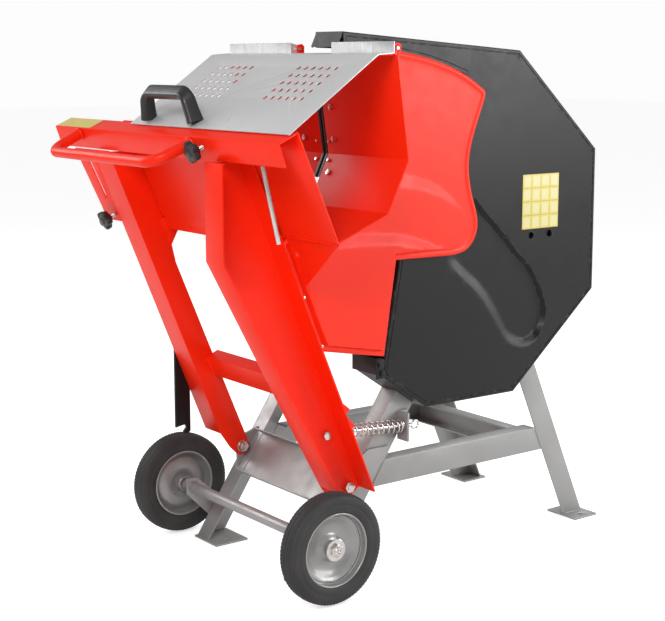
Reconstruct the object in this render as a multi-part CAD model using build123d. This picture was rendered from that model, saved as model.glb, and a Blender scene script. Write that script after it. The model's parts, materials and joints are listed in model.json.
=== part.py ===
from build123d import *
import math
import os

# Rocking-cradle log saw, millimetres.  +X is the operator's right (along the wheel axle and
# the blade shaft), +Y points away from the operator (front is -Y), +Z is up.  The script
# works from an origin on the ground under the axle, midway between the wheels; save() moves
# each piece so that the origin is at the middle of the overall length.

os.makedirs("parts", exist_ok=True)

# ---------------------------------------------------------------- driving sizes
mid_y = 302.5                       # middle of the length, push handle to rear feet

axle_z = 128.0
axle_r = 10.0
axle = (0, axle_z)                  # (y, z)
track = 630.0                       # between the wheel centres
run_gap = 0.06                      # radial running clearance

front_lean = 0.67                   # front legs: Y travel per unit height
rear_lean = -0.446                  # rear legs: Y travel per unit height
front_leg_y0 = 2.0                  # front edge of the front legs at the ground
rear_leg_y0 = 856.0                 # front edge of the rear legs at the ground
front_leg_w = 78.0                  # width along Y
rear_leg_w = 66.0
leg_t = 4.0
leg_flange = 50.0                   # width of the leg flange along X
foot_z = 5.0                        # lower end of the legs
frame_xl = -246.0                   # outer face, left side frame
frame_xr = 190.0                    # outer face, right side frame
deck_z = 687.0                      # underside of the motor deck

blade_x, blade_y, blade_z = 185.0, 475.0, 795.0
shaft = (blade_y, blade_z)
blade_r = 350.0
blade_t = 4.0
tooth_count = 42
bore_r = 15.0

pivot_y, pivot_z = 120.0, 222.0     # cradle swing axis
pivot = (pivot_y, pivot_z)
pivot_r = 8.0

guard_x0, guard_x1 = 133.0, 231.0
guard_t = 3.0
# Guard outline (y, z): round the rear from the top front corner, then back up the mouth.
guard_rim = [(95, 1233), (621, 1195), (888, 956), (891, 604), (622, 374), (342, 376), (209, 466)]
guard_mouth = [
    (216, 504), (258, 733), (272, 835), (380, 925), (445, 1141), (400, 1156),
    (350, 1170), (300, 1181), (250, 1189), (200, 1194.5), (150, 1197.5), (95, 1199)]

# Trough section (y, z): front lip, front wall foot, floor end, rear wall bend, hood top.
trough_line = [(-191, 1038), (-93, 818), (31, 867), (83, 973), (52, 1182)]
trough_x0, trough_x1 = -213.0, 465.0
hood_x0 = -145.0
trough_t = 3.0
slot_x0, slot_x1 = 174.0, 196.0     # blade slot

beam_half = 465.0
cradle_top = 968.0                  # upper end of the cradle legs
hinge_y, hinge_z = 62.0, 1196.0     # lid hinge axis
hinge = (hinge_y, hinge_z)
ear_xs = (-132.0, 118.0, 266.0, 448.0)
spring_bolt = (57.0, 352.0)         # (y, z)


# ---------------------------------------------------------------- helpers
def prism_x(outline, x0, x1):
    """Closed (y, z) outline extruded from x0 to x1."""
    wire = Wire.make_polygon([Vector(x0, y, z) for y, z in outline], close=True)
    return Solid.extrude(Face(wire), Vector(x1 - x0, 0, 0))


def box(x0, x1, y0, y1, z0, z1):
    return Solid.make_box(x1 - x0, y1 - y0, z1 - z0, Plane(origin=(x0, y0, z0)))


def cyl_from(start, direction, radius, length):
    return Solid.make_cylinder(radius, length, Plane(origin=start, z_dir=direction))


def cyl(start, end, radius):
    span = Vector(*end) - Vector(*start)
    return cyl_from(Vector(*start), span, radius, span.length)


def cyl_x(x0, x1, y, z, radius):
    return cyl((x0, y, z), (x1, y, z), radius)


def tube_x(x0, x1, y, z, outer_r, inner_r):
    return cyl_x(x0, x1, y, z, outer_r) - cyl_x(x0 - 1, x1 + 1, y, z, inner_r)


def hex_x(x0, x1, y, z, across_flats):
    radius = across_flats / 2 / math.cos(math.pi / 6)
    angles = [math.radians(a) for a in range(0, 360, 60)]
    return prism_x([(y + radius * math.cos(a), z + radius * math.sin(a)) for a in angles], x0, x1)


def unit(start, end):
    """Unit direction between two (y, z) points."""
    dy, dz = end[0] - start[0], end[1] - start[1]
    length = math.hypot(dy, dz)
    return (dy / length, dz / length)


def mitre(point, before, after, distance):
    """Corner moved left of the unit directions before and after it."""
    scale = distance / (1 + before[0] * after[0] + before[1] * after[1])
    return (point[0] - (before[1] + after[1]) * scale, point[1] + (before[0] + after[0]) * scale)


def offset_line(line, distance):
    steps = [unit(p, q) for p, q in zip(line, line[1:])]
    corners = zip(line, steps[:1] + steps, steps + steps[-1:])
    return [mitre(point, before, after, distance) for point, before, after in corners]


def strip(line, thickness):
    """Closed outline of a folded strip: the line and its copy moved to the left."""
    return list(line) + offset_line(line, thickness)[::-1]


def sheet_x(line, thickness, x0, x1):
    return prism_x(strip(line, thickness), x0, x1)


def inset(outline, distance):
    """Closed outline moved inward."""
    edges = list(zip(outline[-1:] + outline[:-1], outline))
    area = sum(p[0] * q[1] - q[0] * p[1] for p, q in edges)
    inward = distance if area > 0 else -distance
    steps = [unit(p, q) for p, q in edges]
    corners = zip(outline, steps, steps[1:] + steps[:1])
    return [mitre(point, before, after, inward) for point, before, after in corners]


def shaft_point(angle, radius, offset=0.0):
    """(y, z) at a radius from the blade axis, shifted square to that radius."""
    c, s = math.cos(angle), math.sin(angle)
    return (blade_y + c * radius - s * offset, blade_z + s * radius + c * offset)


def spoke(angle, profile, x0, x1):
    """Prism from (radius, offset) pairs laid out at an angle round the blade axis."""
    return prism_x([shaft_point(angle, radius, offset) for radius, offset in profile], x0, x1)


def save(name, shape):
    """Writes one node, with its Y origin moved to the middle of the length."""
    pieces = shape if isinstance(shape, (list, tuple)) else [shape]
    shift = Location((0, -mid_y, 0))
    solids = [Solid(s.wrapped).moved(shift) for piece in pieces for s in piece.solids()]
    node = solids[0] if len(solids) == 1 else Compound(children=solids)
    node.label = name
    export_step(node, f"parts/{name}.step")


# ---------------------------------------------------------------- frame legs
def front_leg_y(z):
    return front_leg_y0 + front_lean * z


def rear_leg_y(z):
    return rear_leg_y0 + rear_lean * z


def inward(outer_x, side, depth):
    """X range running inward from an outer face; side is +1 right, -1 left."""
    return sorted((outer_x, outer_x - side * depth))


def angle_leg(outer_x, side, foot_y, width, lean, top, flange_in_front):
    """Angle section: side plate at the outer face, flange along its front or rear edge."""
    (front_y, front_z), (back_y, back_z) = top
    thick = leg_t * math.sqrt(1 + lean ** 2)
    rise = (back_z - front_z) * thick / (back_y - front_y)
    foot_back = foot_y + width
    plate = [(foot_y, foot_z), (foot_back, foot_z), (back_y, back_z), (front_y, front_z)]
    if flange_in_front:
        flange = [(foot_y, foot_z), (foot_y + thick, foot_z),
                  (front_y + thick, front_z + rise), (front_y, front_z)]
    else:
        flange = [(foot_back - thick, foot_z), (foot_back, foot_z),
                  (back_y, back_z), (back_y - thick, back_z - rise)]
    return (prism_x(plate, *inward(outer_x, side, leg_t))
            + prism_x(flange, *inward(outer_x, side, leg_flange)))


def front_leg(outer_x, side, top):
    return angle_leg(outer_x, side, front_leg_y(foot_z), front_leg_w, front_lean, top, True)


def rear_leg(outer_x, side, top):
    return angle_leg(outer_x, side, rear_leg_y(foot_z), rear_leg_w, rear_lean, top, False)


def meet(ground_y, lean, start, end):
    """Point where a leaning edge meets the line through two points."""
    slope = (end[1] - start[1]) / (end[0] - start[0])
    z = (start[1] + slope * (ground_y - start[0])) / (1 - slope * lean)
    return (ground_y + lean * z, z)


# The left legs stop under the motor deck.
left_top_z = deck_z - 1
y = front_leg_y(left_top_z)
save("front_left_leg",
     front_leg(frame_xl, -1, ((y, left_top_z), (y + front_leg_w, left_top_z))))
y = rear_leg_y(left_top_z)
save("rear_left_leg",
     rear_leg(frame_xl, -1, ((y, left_top_z), (y + rear_leg_w, left_top_z))))

# The right legs end on a line just under the guard rim.
guard_gap = 0.6
rear_high, rear_low, front_low, front_high = [(y, z - guard_gap) for y, z in guard_rim[3:]]
save("front_right_leg", front_leg(frame_xr, 1, [
    meet(front_leg_y0 + step, front_lean, front_high, front_low) for step in (0, front_leg_w)]))
save("rear_right_leg", rear_leg(frame_xr, 1, [
    meet(rear_leg_y0 + step, rear_lean, rear_low, rear_high) for step in (0, rear_leg_w)]))

# ---------------------------------------------------------------- rails and cross plate
rail_z0, rail_z1 = 195.0, 255.0
rail_gap = 0.3


def rail_outline(z0, z1):
    """Outline between the rear edge of the front leg and the front edge of the rear leg."""
    front = front_leg_w + rail_gap
    return [(front_leg_y(z0) + front, z0), (rear_leg_y(z0) - rail_gap, z0),
            (rear_leg_y(z1) - rail_gap, z1), (front_leg_y(z1) + front, z1)]


def side_rail(outer_x, side):
    """Angle between the legs, top flange turned inward."""
    return (prism_x(rail_outline(rail_z0, rail_z1), *inward(outer_x, side, leg_t))
            + prism_x(rail_outline(rail_z1 - 4, rail_z1), *inward(outer_x, side, 42)))


save("side_rails", [side_rail(frame_xl, -1), side_rail(frame_xr, 1)])

# Rear cross rail: channel open to the front, between the side rails.
cross_x = (frame_xl + leg_t + rail_gap, frame_xr - leg_t - rail_gap)
cross_y = rear_leg_y(rail_z1) - 12
cross_z0, cross_z1 = rail_z0 + 1, rail_z1 - 4.4
save("rear_cross_rail",
     box(*cross_x, cross_y - 4, cross_y, cross_z0, cross_z1)
     + box(*cross_x, cross_y - 36, cross_y, cross_z1 - 4, cross_z1)
     + box(*cross_x, cross_y - 36, cross_y, cross_z0, cross_z0 + 4))

# Front cross plate: folded channel between the front legs, lips to the front.
lip = 30.0
lip_y = -lip / math.hypot(1, front_lean)
lip_z = lip * front_lean / math.hypot(1, front_lean)
web_low, web_high = [(front_leg_y(z) + 1, z) for z in (160.0, 250.0)]
save("front_cross_plate", sheet_x(
    [(web_low[0] + lip_y, web_low[1] + lip_z), web_low,
     web_high, (web_high[0] + lip_y, web_high[1] + lip_z)],
    -3.0, frame_xl + leg_flange + 0.4, frame_xr - leg_flange - 0.4))

# Foot plates: left x, front y, depth along y, hole x; each hole is midway along y.
foot_table = [(-250, 0, 92, -172), (134, 0, 92, 212), (-290, 852, 80, -268), (134, 852, 80, 212)]
foot_hole_r = 6.0
feet = []
for x, y, depth, hole_x in foot_table:
    hole_y = y + depth / 2
    hole = cyl((hole_x, hole_y, -1), (hole_x, hole_y, 6), foot_hole_r)
    feet.append(box(x, x + 100, y, y + depth, 0, 4.7) - hole)
save("foot_plates", feet)

# ---------------------------------------------------------------- cradle pivots
# Left bracket inboard of the left cradle leg, right bracket on the right frame leg.
left_outline = [
    (front_leg_y(262) - 0.4, 262), (pivot_y - 6, pivot_z + 21), (pivot_y - 21, pivot_z + 6),
    (pivot_y - 21, pivot_z - 8), (pivot_y - 8, pivot_z - 21), (front_leg_y(168) - 0.4, 168)]
left_bracket = prism_x(left_outline, -229, -221) - cyl_x(-240, -210, *pivot, pivot_r)
right_outline = [
    (front_leg_y(290), 290), (front_leg_y(290) + 60, 290), (front_leg_y(150) + 60, 150),
    (front_leg_y(150), 150), (pivot_y - 18, pivot_z - 16), (pivot_y - 22, pivot_z + 4),
    (pivot_y - 8, pivot_z + 22)]
right_bracket = prism_x(right_outline, frame_xr + 0.2, 198.2) + cyl_x(198.2, 215.2, *pivot, 17)
right_bracket = right_bracket - cyl_x(180, 240, *pivot, pivot_r)
save("pivot_brackets", [left_bracket, right_bracket])

bolt_r = pivot_r - 0.01
left_bolt = (cyl_x(-239, -198, *pivot, bolt_r) + hex_x(-239, -229.2, *pivot, 24)
             + hex_x(-212, -203, *pivot, 24) + cyl_x(-214.7, -212, *pivot, 15))
right_bolt = cyl_x(188.0, 232, *pivot, bolt_r) + hex_x(220.3, 230, *pivot, 24)
save("pivot_bolts", [left_bolt, right_bolt])

# ---------------------------------------------------------------- motor deck
# Shelf, a front apron cut back to a thin skin at the left, and a lip by the guard.
deck_x1 = guard_x0 - 0.4
apron = (box(frame_xl, deck_x1, 430, 434, deck_z - 26, deck_z)
         - box(frame_xl - 1, frame_xl + leg_flange + 60, 425, 440, deck_z - 30, deck_z - 0.0001))
save("motor_deck",
     box(frame_xl, deck_x1, 430, 600, deck_z, deck_z + 8)
     + apron
     + box(deck_x1 - 6, deck_x1, 430, 600, deck_z - 60, deck_z))

# ---------------------------------------------------------------- axle
axle_tube_r = 13.5
save("axle", cyl_x(-343, 343, *axle, axle_r))
save("axle_tube", tube_x(-284, 284, *axle, axle_tube_r, axle_r + 0.02))


def axle_bracket(x0, bolt_x0, bolt_x1):
    """Flat bar hanging the axle tube from a front leg, with one hex bolt head."""
    outline = [(-22, axle_z + 24), (8, axle_z + 24), (front_leg_y(60) + 52, 74),
               (front_leg_y(60) + 40, 38), (front_leg_y(60) + 12, 38), (-22, axle_z - 14)]
    plate = prism_x(outline, x0, x0 + 6) - cyl_x(x0 - 15, x0 + 21, *axle, axle_tube_r)
    return plate + hex_x(bolt_x0, bolt_x1, 20, 106, 17)


save("axle_brackets", [
    axle_bracket(frame_xl - 6.3, frame_xl - 13, frame_xl - 6.3),
    axle_bracket(frame_xr + 0.2, frame_xr + 6.2, frame_xr + 13)])


def axle_nut(side):
    washer = cyl_x(*sorted((side * 331.4, side * 334.0)), *axle, 25)
    nut = hex_x(*sorted((side * 334.0, side * 341.0)), *axle, 27)
    return (washer + nut) - cyl_x(*sorted((side * 325, side * 360)), *axle, axle_r)


save("axle_nuts", [axle_nut(-1), axle_nut(1)])

# ---------------------------------------------------------------- blade guard
guard_outline = guard_rim + guard_mouth
guard = (prism_x(guard_outline, guard_x1 - guard_t, guard_x1)
         + sheet_x([(80, 1201)] + guard_rim + guard_mouth[:1], -guard_t,
                   guard_x0 + guard_t + 0.3, guard_x1))
for y, z in ((670, 754), (732, 755)):
    guard = guard - cyl_x(guard_x1 - 10, guard_x1 + 5, y, z, 9)
save("guard_cover", guard)
save("guard_back_plate", prism_x(guard_outline, guard_x0, guard_x0 + guard_t)
     - cyl_x(120, 140, *shaft, 62))

# Clamp at the lower front of the guard: folded strip, outer tab and two hex heads.
clamp_x0, clamp_x1 = guard_x0 + 3.6, guard_x1 - 3.6
tab_x0, tab_x1 = guard_x1 + 0.3, guard_x1 + 2.0
save("guard_clamp",
     box(clamp_x0, clamp_x1, 196, 199, 470, 508)
     + box(clamp_x0, clamp_x1, 196, 212, 505, 508)
     + box(tab_x0, tab_x1, 190, 214, 462, 506)
     + box(clamp_x1, tab_x0, 196, 199, 470, 506)
     + hex_x(tab_x1, guard_x1 + 5.6, 201, 494, 12)
     + hex_x(tab_x1, guard_x1 + 5.6, 207, 474, 12))
save("blank_label", box(guard_x1 + 0.2, guard_x1 + 1.0, 638, 760, 770, 902))

# ---------------------------------------------------------------- motor
motor_x0, motor_x1 = -168.0, 96.0

# Housing: tube, cooling fins except at the bottom, two feet and their webs.
housing = tube_x(motor_x0 + 40, motor_x1, *shaft, 78, 70)
fin_profile = [(77, 1.8), (92, 1.08), (92, -1.08), (77, -1.8)]     # (radius, offset)
for angle in range(0, 360, 10):
    if not 240 <= angle <= 300:
        housing = housing + spoke(math.radians(angle), fin_profile, motor_x0 + 44, motor_x1 - 4)
motor_feet = (box(-60, 60, blade_y - 78, blade_y - 38, deck_z + 8.2, deck_z + 20)
              + box(-60, 60, blade_y + 38, blade_y + 78, deck_z + 8.2, deck_z + 20))
webs = (box(-60, 60, blade_y - 62, blade_y - 50, deck_z + 12, blade_z - 52)
        + box(-60, 60, blade_y + 50, blade_y + 62, deck_z + 12, blade_z - 52))
webs = webs - cyl_x(-80, 80, *shaft, 74)
save("motor_housing", housing + motor_feet + webs)

shield = (cyl_x(motor_x1 + 0.2, motor_x1 + 16, *shaft, 82)
          + cyl_x(motor_x1 + 16, 120, *shaft, 60)
          + cyl_x(120, guard_x0 - 0.2, *shaft, 75))
save("motor_end_shield", shield - cyl_x(motor_x1 - 1, 114, *shaft, 26)
     - cyl_x(110, guard_x0 + 1, *shaft, 18))

# Fan cowl: cup with rings of vents in its left face and an annular wall at its right end.
cowl_x1 = motor_x0 + 39.7
cowl = cyl_x(motor_x0 - 22, cowl_x1, *shaft, 90) - cyl_x(motor_x0 - 19, motor_x0 + 40, *shaft, 87)
for ring_r, angle_step in ((20, 60), (40, 30), (60, 30)):
    for angle in range(0, 360, angle_step):
        vent = shaft_point(math.radians(angle), ring_r)
        cowl = cowl - cyl_x(motor_x0 - 30, motor_x0 - 10, *vent, 5)
save("motor_fan_cowl", cowl + tube_x(motor_x0 + 34, cowl_x1, *shaft, 88, 24))

save("stator_core", tube_x(-90, 60, *shaft, 69.7, 46))
save("rotor_core", tube_x(-90, 60, *shaft, 45, 14))
save("shaft_bearings", [
    tube_x(98, 113, *shaft, 25.95, 14.06),
    tube_x(motor_x0 + 35, motor_x0 + 45, *shaft, 23.95, 14.06)])

# Switch box above the motor, with two buttons in front and an inlet plug behind.
box_x0, box_x1 = -70.0, 50.0
box_front = blade_y - 48
button_z = blade_z + 128
start_x, stop_x = -38, 14
switch_box = (box(box_x0, box_x1, box_front, blade_y + 48, blade_z + 93, blade_z + 163)
              - box(box_x0 + 3, box_x1 - 3, blade_y - 45, blade_y + 45,
                    blade_z + 96, blade_z + 160))
for x in (start_x, stop_x):
    switch_box = switch_box - cyl((x, box_front - 5, button_z), (x, box_front + 10, button_z), 12.6)


def inlet_cyl(depth0, depth1, radius):
    """Cylinder on the inlet axis, between two Y distances behind the blade axis."""
    return cyl((-10, blade_y + depth0, blade_z + 126), (-10, blade_y + depth1, blade_z + 126),
               radius)


def push_button(x, proud):
    return (cyl((x, box_front - proud, button_z), (x, box_front + 6, button_z), 12)
            + cyl((x, box_front + 3.4, button_z), (x, box_front + 9, button_z), 15))


save("switch_box", switch_box - inlet_cyl(40, 60, 18))
save("inlet_plug", inlet_cyl(40, 84, 17.9) + inlet_cyl(48.2, 54, 26) - inlet_cyl(60, 90, 14.5))
save("start_button", push_button(start_x, 5))
save("stop_button", push_button(stop_x, 8))

# Cooling fan: hub, eight vanes and a disc on their right side.
fan = cyl_x(motor_x0 - 8, motor_x0 + 20, *shaft, 24)
vane_profile = [(22, 1.5), (80, 1.5), (80, -1.5), (22, -1.5)]      # (radius, offset)
for angle in range(0, 360, 45):
    fan = fan + spoke(math.radians(angle), vane_profile, motor_x0 - 6, motor_x0 + 18)
fan = fan + cyl_x(motor_x0 + 18, motor_x0 + 20, *shaft, 80)
save("cooling_fan", fan - cyl_x(motor_x0 - 20, motor_x0 + 30, *shaft, 14))

# ---------------------------------------------------------------- blade and shaft
save("motor_shaft",
     cyl_x(motor_x0 - 12, 172, *shaft, 14)
     + cyl_x(172, 204, *shaft, bore_r - 0.02)
     + cyl_x(204, 224, *shaft, 10))

body_r = blade_r - 2.0
root_r = blade_r - 20.0
# One tooth of the disc: (fraction of the tooth pitch, radius).
tooth_profile = [
    (0.0, body_r), (-0.006, root_r + 2), (0.14, root_r - 1), (0.36, root_r + 5), (0.72, body_r - 3)]
tip_profile = [                                                    # (radius, offset)
    (blade_r - 14, 0.15), (blade_r, 0.15), (blade_r - 0.6, 3.6), (blade_r - 14, 3.6)]
tooth_pitch = 2 * math.pi / tooth_count
disc = []
tips = []
for i in range(tooth_count):
    angle = i * tooth_pitch
    disc += [shaft_point(angle + part * tooth_pitch, radius) for part, radius in tooth_profile]
    tips.append(spoke(angle, tip_profile, blade_x - 2.6, blade_x + 2.6))
save("saw_blade", prism_x(disc, blade_x - blade_t / 2, blade_x + blade_t / 2)
     - cyl_x(blade_x - 9, blade_x + 9, *shaft, bore_r))
save("blade_tips", tips)
save("arbor_flanges", [
    tube_x(172.2, 182.9, *shaft, 48, bore_r), tube_x(187.1, 197, *shaft, 48, bore_r)])
save("arbor_nut", hex_x(204.1, 219, *shaft, 36) - cyl_x(200, 230, *shaft, 10)
     + tube_x(197.1, 204, *shaft, 22, bore_r))

# ---------------------------------------------------------------- wheels
# Profiles (x from the wheel centre, radius); the rim's x is outward from the machine.
tyre_profile = [
    (-25, 88), (-25, 112), (-22, 120), (-16, 124), (-8, 125), (8, 125), (16, 124), (22, 120),
    (25, 112), (25, 88), (19, 82.3), (-19, 82.3)]
rim_profile = [
    (-19, 82), (-19, 79), (6, 77), (4, 70), (-8, 52), (-8, 30), (0, 25), (0, 21.5),
    (3, 21.5), (3, 26), (-5, 32), (-5, 51), (7, 68), (9.5, 77), (19, 79), (19, 82)]


def wheel_ring(centre_x, side, profile):
    wire = Wire.make_polygon(
        [Vector(centre_x + side * x, 0, axle_z + radius) for x, radius in profile], close=True)
    return Solid.revolve(Face(wire), 360, Axis((0, 0, axle_z), (1, 0, 0)))


for side_name, side in (("right", 1), ("left", -1)):
    wheel_x = side * track / 2
    hub = (cyl_x(*sorted((wheel_x - side * 25.6, wheel_x + side * 16.0)), *axle, 21)
           - cyl_x(wheel_x - 30, wheel_x + 30, *axle, axle_r + run_gap))
    hub = hub + (cyl_x(wheel_x - 8, wheel_x + 8, *axle, 30)
                 - cyl_x(wheel_x - 30, wheel_x + 30, *axle, 20))
    save(f"{side_name}_tyre", wheel_ring(wheel_x, 1, tyre_profile))
    save(f"{side_name}_rim", wheel_ring(wheel_x, side, rim_profile) + hub)


# ---------------------------------------------------------------- cradle
def left_rear_y(z):
    """Rear edge of the left cradle leg."""
    return 144.0 - 0.427 * (z - pivot_z)


def right_rear_y(z):
    """Rear edge of the right cradle leg."""
    return 153.0 - 0.427 * (z - pivot_z)


save("top_beam",
     sheet_x([(-222, 970), (-238.5, 1017), (-195.7, 1036.1)], -4.0, -beam_half, beam_half))

left_web_outline = [
    (-158, cradle_top), (-232, cradle_top), (60, 262), (88, 222), (100, 212), (120, 204),
    (136, 212), (left_rear_y(232), 232), (left_rear_y(700), 700), (-88, 815)]
left_web = prism_x(left_web_outline, -219, -215) + cyl_x(-219, -215, *pivot, 22)
left_web = left_web - cyl_x(-230, -200, *pivot, pivot_r + run_gap)
save("left_cradle_leg",
     left_web + sheet_x([(-232, cradle_top), (60, 262)], 4.0, -288, -217))

right_front_line = [(-246, cradle_top), (-246, 766), (43, 236)]
right_rear_line = [(right_rear_y(cradle_top), cradle_top), (right_rear_y(218), 218)]
right_web_outline = (right_rear_line[:1] + right_front_line
                     + [(72, 194), (120, 194)] + right_rear_line[1:])
right_leg = (prism_x(right_web_outline, 216, 220)
             + sheet_x(right_front_line, 4.0, 216, 280)
             + sheet_x(right_rear_line, -4.0, 216, 276))
save("right_cradle_leg", right_leg - cyl_x(200, 240, *pivot, pivot_r + run_gap))

save("cradle_crossbar", sheet_x([(44, 412), (20, 462), (52, 476)], -4.0, -214.7, 215.7))

# Log trough: full-width folded sheet, shorter hood above, cut by the blade slot and the guard.
floor_end, wall_bend, hood_top = trough_line[2:]
wall_mid = ((floor_end[0] + wall_bend[0]) / 2, (floor_end[1] + wall_bend[1]) / 2)
trough = (sheet_x(trough_line[:4], -trough_t, trough_x0, trough_x1)
          + sheet_x([wall_mid, wall_bend, hood_top], -trough_t, hood_x0, trough_x1))
trough = (trough - box(slot_x0, slot_x1, -150, 110, 790, 900)
          - box(slot_x0, slot_x1, -60, 110, 880, 1200))
trough = trough - box(guard_x0 - 8, slot_x1 + 50, 40, 80, 1172, 1200)
save("log_trough", trough)

# Triangular gussets under the trough: a sloping one at the right, an upright one at the left.
corner = Vector(281, -92, 812)
far_corner = Vector(463, -92, 812)
low_corner = Vector(281, right_rear_y(700) + 9, 700)
normal = (far_corner - corner).cross(low_corner - corner).normalized()
right_gusset = Solid.extrude(
    Face(Wire.make_polygon([corner, far_corner, low_corner], close=True)), normal * 3.0)
right_gusset = right_gusset - cyl((300, -130, 775), (300, 20, 775), 6)
left_gusset = prism_x(
    [(left_rear_y(805) + 3, 805), (left_rear_y(805) + 78, 830), (left_rear_y(740) + 3, 742)],
    -214.6, -211)
save("trough_gussets", [right_gusset, left_gusset])

# Support guide: a band under the trough, and a slotted arm and short band at the left end.
band_line = [(-150, 826), (-136, 792)]
arm = sheet_x([(-216.5, 966)] + band_line, 3.0, -410, -318)
arm = arm - box(-367, -358, -212, -160, 838, 946)
save("support_guide", [
    sheet_x([(-92.5, 814), (-78, 782)], 3.0, -210.6, 170),
    arm + sheet_x(band_line, 3.0, -330, -289)])

# Side cover: closed hollow pan beside the guard.
cover_outline = [
    (right_rear_y(800) + 1.5, 800), (36, 856), (92, 970), (62, 1188), (150, 1196), (223, 1193),
    (290, 1183), (348, 1169), (440, 1135), (485, 1108), (487, 1080), (462, 1030), (444, 975),
    (440, 930), (450, 866), (468, 820), (470, 795), (462, 765), (446, 748), (415, 735),
    (385, 730), (227, 733), (194, 518), (right_rear_y(552) + 1.5, 552)]
save("side_cover", prism_x(cover_outline, 237, 262) - prism_x(inset(cover_outline, 3.0), 236, 259))

# Push handle: bent tube trimmed to the front face of the beam.
handle_points = [Vector(-345, -236, 1003), Vector(-330, -318, 966),
                 Vector(132, -318, 966), Vector(147, -236, 1003)]
handle_section = Plane(origin=handle_points[0],
                       z_dir=handle_points[1] - handle_points[0]) * Circle(9.0)
handle = Part() + sweep(handle_section, path=FilletPolyline(*handle_points, radius=38))
beam_front_side = prism_x(
    [(-222.4, 969), (-239.4, 1018.6), (-420, 1100), (-420, 880), (-190, 880)], -470, 470)
save("push_handle", handle & beam_front_side)

# Slot insert: two strips narrowing the blade slot, each on a backing behind the sheet.
insert_line = [
    (wall_mid[0] + 2, wall_mid[1] + 4), wall_bend,
    (hood_top[0] + (wall_bend[0] - hood_top[0]) * 0.12,
     hood_top[1] + (wall_bend[1] - hood_top[1]) * 0.12)]
backing_line = offset_line(insert_line, -3.3)
gap_x0, gap_x1 = 181.5, 188.5
save("slot_insert", [
    sheet_x(insert_line, -4.0, *face_x) + sheet_x(backing_line, -4.0, *backing_x)
    for face_x, backing_x in (((slot_x0 + 0.3, gap_x0), (156.0, gap_x0)),
                              ((gap_x1, slot_x1 - 0.3), (gap_x1, 214.0)))])


def hinge_ear(x):
    """Ear for the lid hinge, cut clear of the hood sheet."""
    outline = [
        (51, 1150), (58, 1150), (hinge_y + 11, hinge_z - 8), (hinge_y + 11, hinge_z + 6),
        (hinge_y + 5, hinge_z + 11), (hinge_y - 6, hinge_z + 9), (56, 1184.5)]
    over_sheet = hood_top[1] + 0.4
    ear = prism_x(outline, x, x + 4)
    ear = ear - sheet_x([wall_bend, hood_top], -trough_t, x - 1, x + 5)
    ear = ear - prism_x(
        [(40, 1140), (hood_top[0] + 3.1, over_sheet), (40, over_sheet)], x - 1, x + 5)
    ear = ear - cyl_x(x - 5, x + 9, *hinge, 4.06)
    return max(ear.solids(), key=lambda s: s.volume)


save("lid_hinge_ears", [hinge_ear(x) for x in ear_xs])
save("stay_rod", cyl((357, -199, 968), (372, -172, 812), 5.5))

# ---------------------------------------------------------------- lid
lid_t = 2.0
lid_x0, lid_x1 = -146.0, 464.0
lid_front, lid_rear, lid_ledge = (-212, 1033.5), (5, 1184.5), (44, 1187.5)
slope_y, slope_z = unit(lid_front, lid_rear)
lid_length = math.dist(lid_front, lid_rear)


def lid_yz(along, height):
    """(y, z) at a distance up the slope from the lid's front edge and a height off it."""
    return (lid_front[0] + slope_y * along - slope_z * height,
            lid_front[1] + slope_z * along + slope_y * height)


# The rear upstand is present over two stretches only.
plain = strip([lid_front, lid_rear, lid_ledge], -lid_t)
flanged = strip([lid_front, lid_rear, lid_ledge, (44, 1209.5)], -lid_t)
lid = prism_x(flanged, -130.0, 113.0)
lid = lid + prism_x(flanged, 258.0, lid_x1)
lid = lid + prism_x(plain, lid_x0, -129.0)
lid = lid + prism_x(plain, 112.0, 259.0)

# Two grids of round vents, five rows of six.
vents = []
for grid_x0, grid_x1 in ((-50.0, 76.0), (251.0, 378.0)):
    for i in range(5):
        for j in range(6):
            x = grid_x0 + (grid_x1 - grid_x0) * j / 5
            vent_plane = Plane(origin=(x, *lid_yz(lid_length - 49 - 25.8 * i, 0)),
                               x_dir=(0, slope_y, slope_z), z_dir=(0, -slope_z, slope_y))
            vents.append(extrude(vent_plane * Circle(6.0), amount=6, both=True))
lid = lid - vents

# Hinge lugs, one beside each ear.
lug_w = 3.0
lug_outline = [(44.9, 1188), (hinge_y + 9, hinge_z - 9), (hinge_y + 9, hinge_z + 7), (44.9, 1209)]
for ear_x, step in zip(ear_xs, (4.3, -10.3, 4.3, -7.3)):
    x = ear_x + step
    lid = lid + (prism_x(lug_outline, x, x + lug_w) - cyl_x(x - 1, x + lug_w + 1, *hinge, 4.0))
save("lid_panel", lid)

# Bow handle: flat bar standing off the lid, trimmed just above the sheet.
bow_x0, bow_x1 = -78.0, 104.0
bow_foot, bow_grip = lid_yz(18, 2.4), lid_yz(45.0, 62.0)
bow = [Vector(bow_x0, *bow_foot), Vector(bow_x0, *bow_grip),
       Vector(bow_x1, *bow_grip), Vector(bow_x1, *bow_foot)]
bow_section = Plane(origin=bow[0], x_dir=(1, 0, 0), z_dir=bow[1] - bow[0]) * Rectangle(15, 24)
bow_bar = Part() + sweep(bow_section, path=FilletPolyline(*bow, radius=22))
above_lid = prism_x([lid_yz(-60, 2.4), lid_yz(260, 2.4), lid_yz(260, 140), lid_yz(-60, 140)],
                    -200, 200)
save("lid_handle", bow_bar & above_lid)


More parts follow.
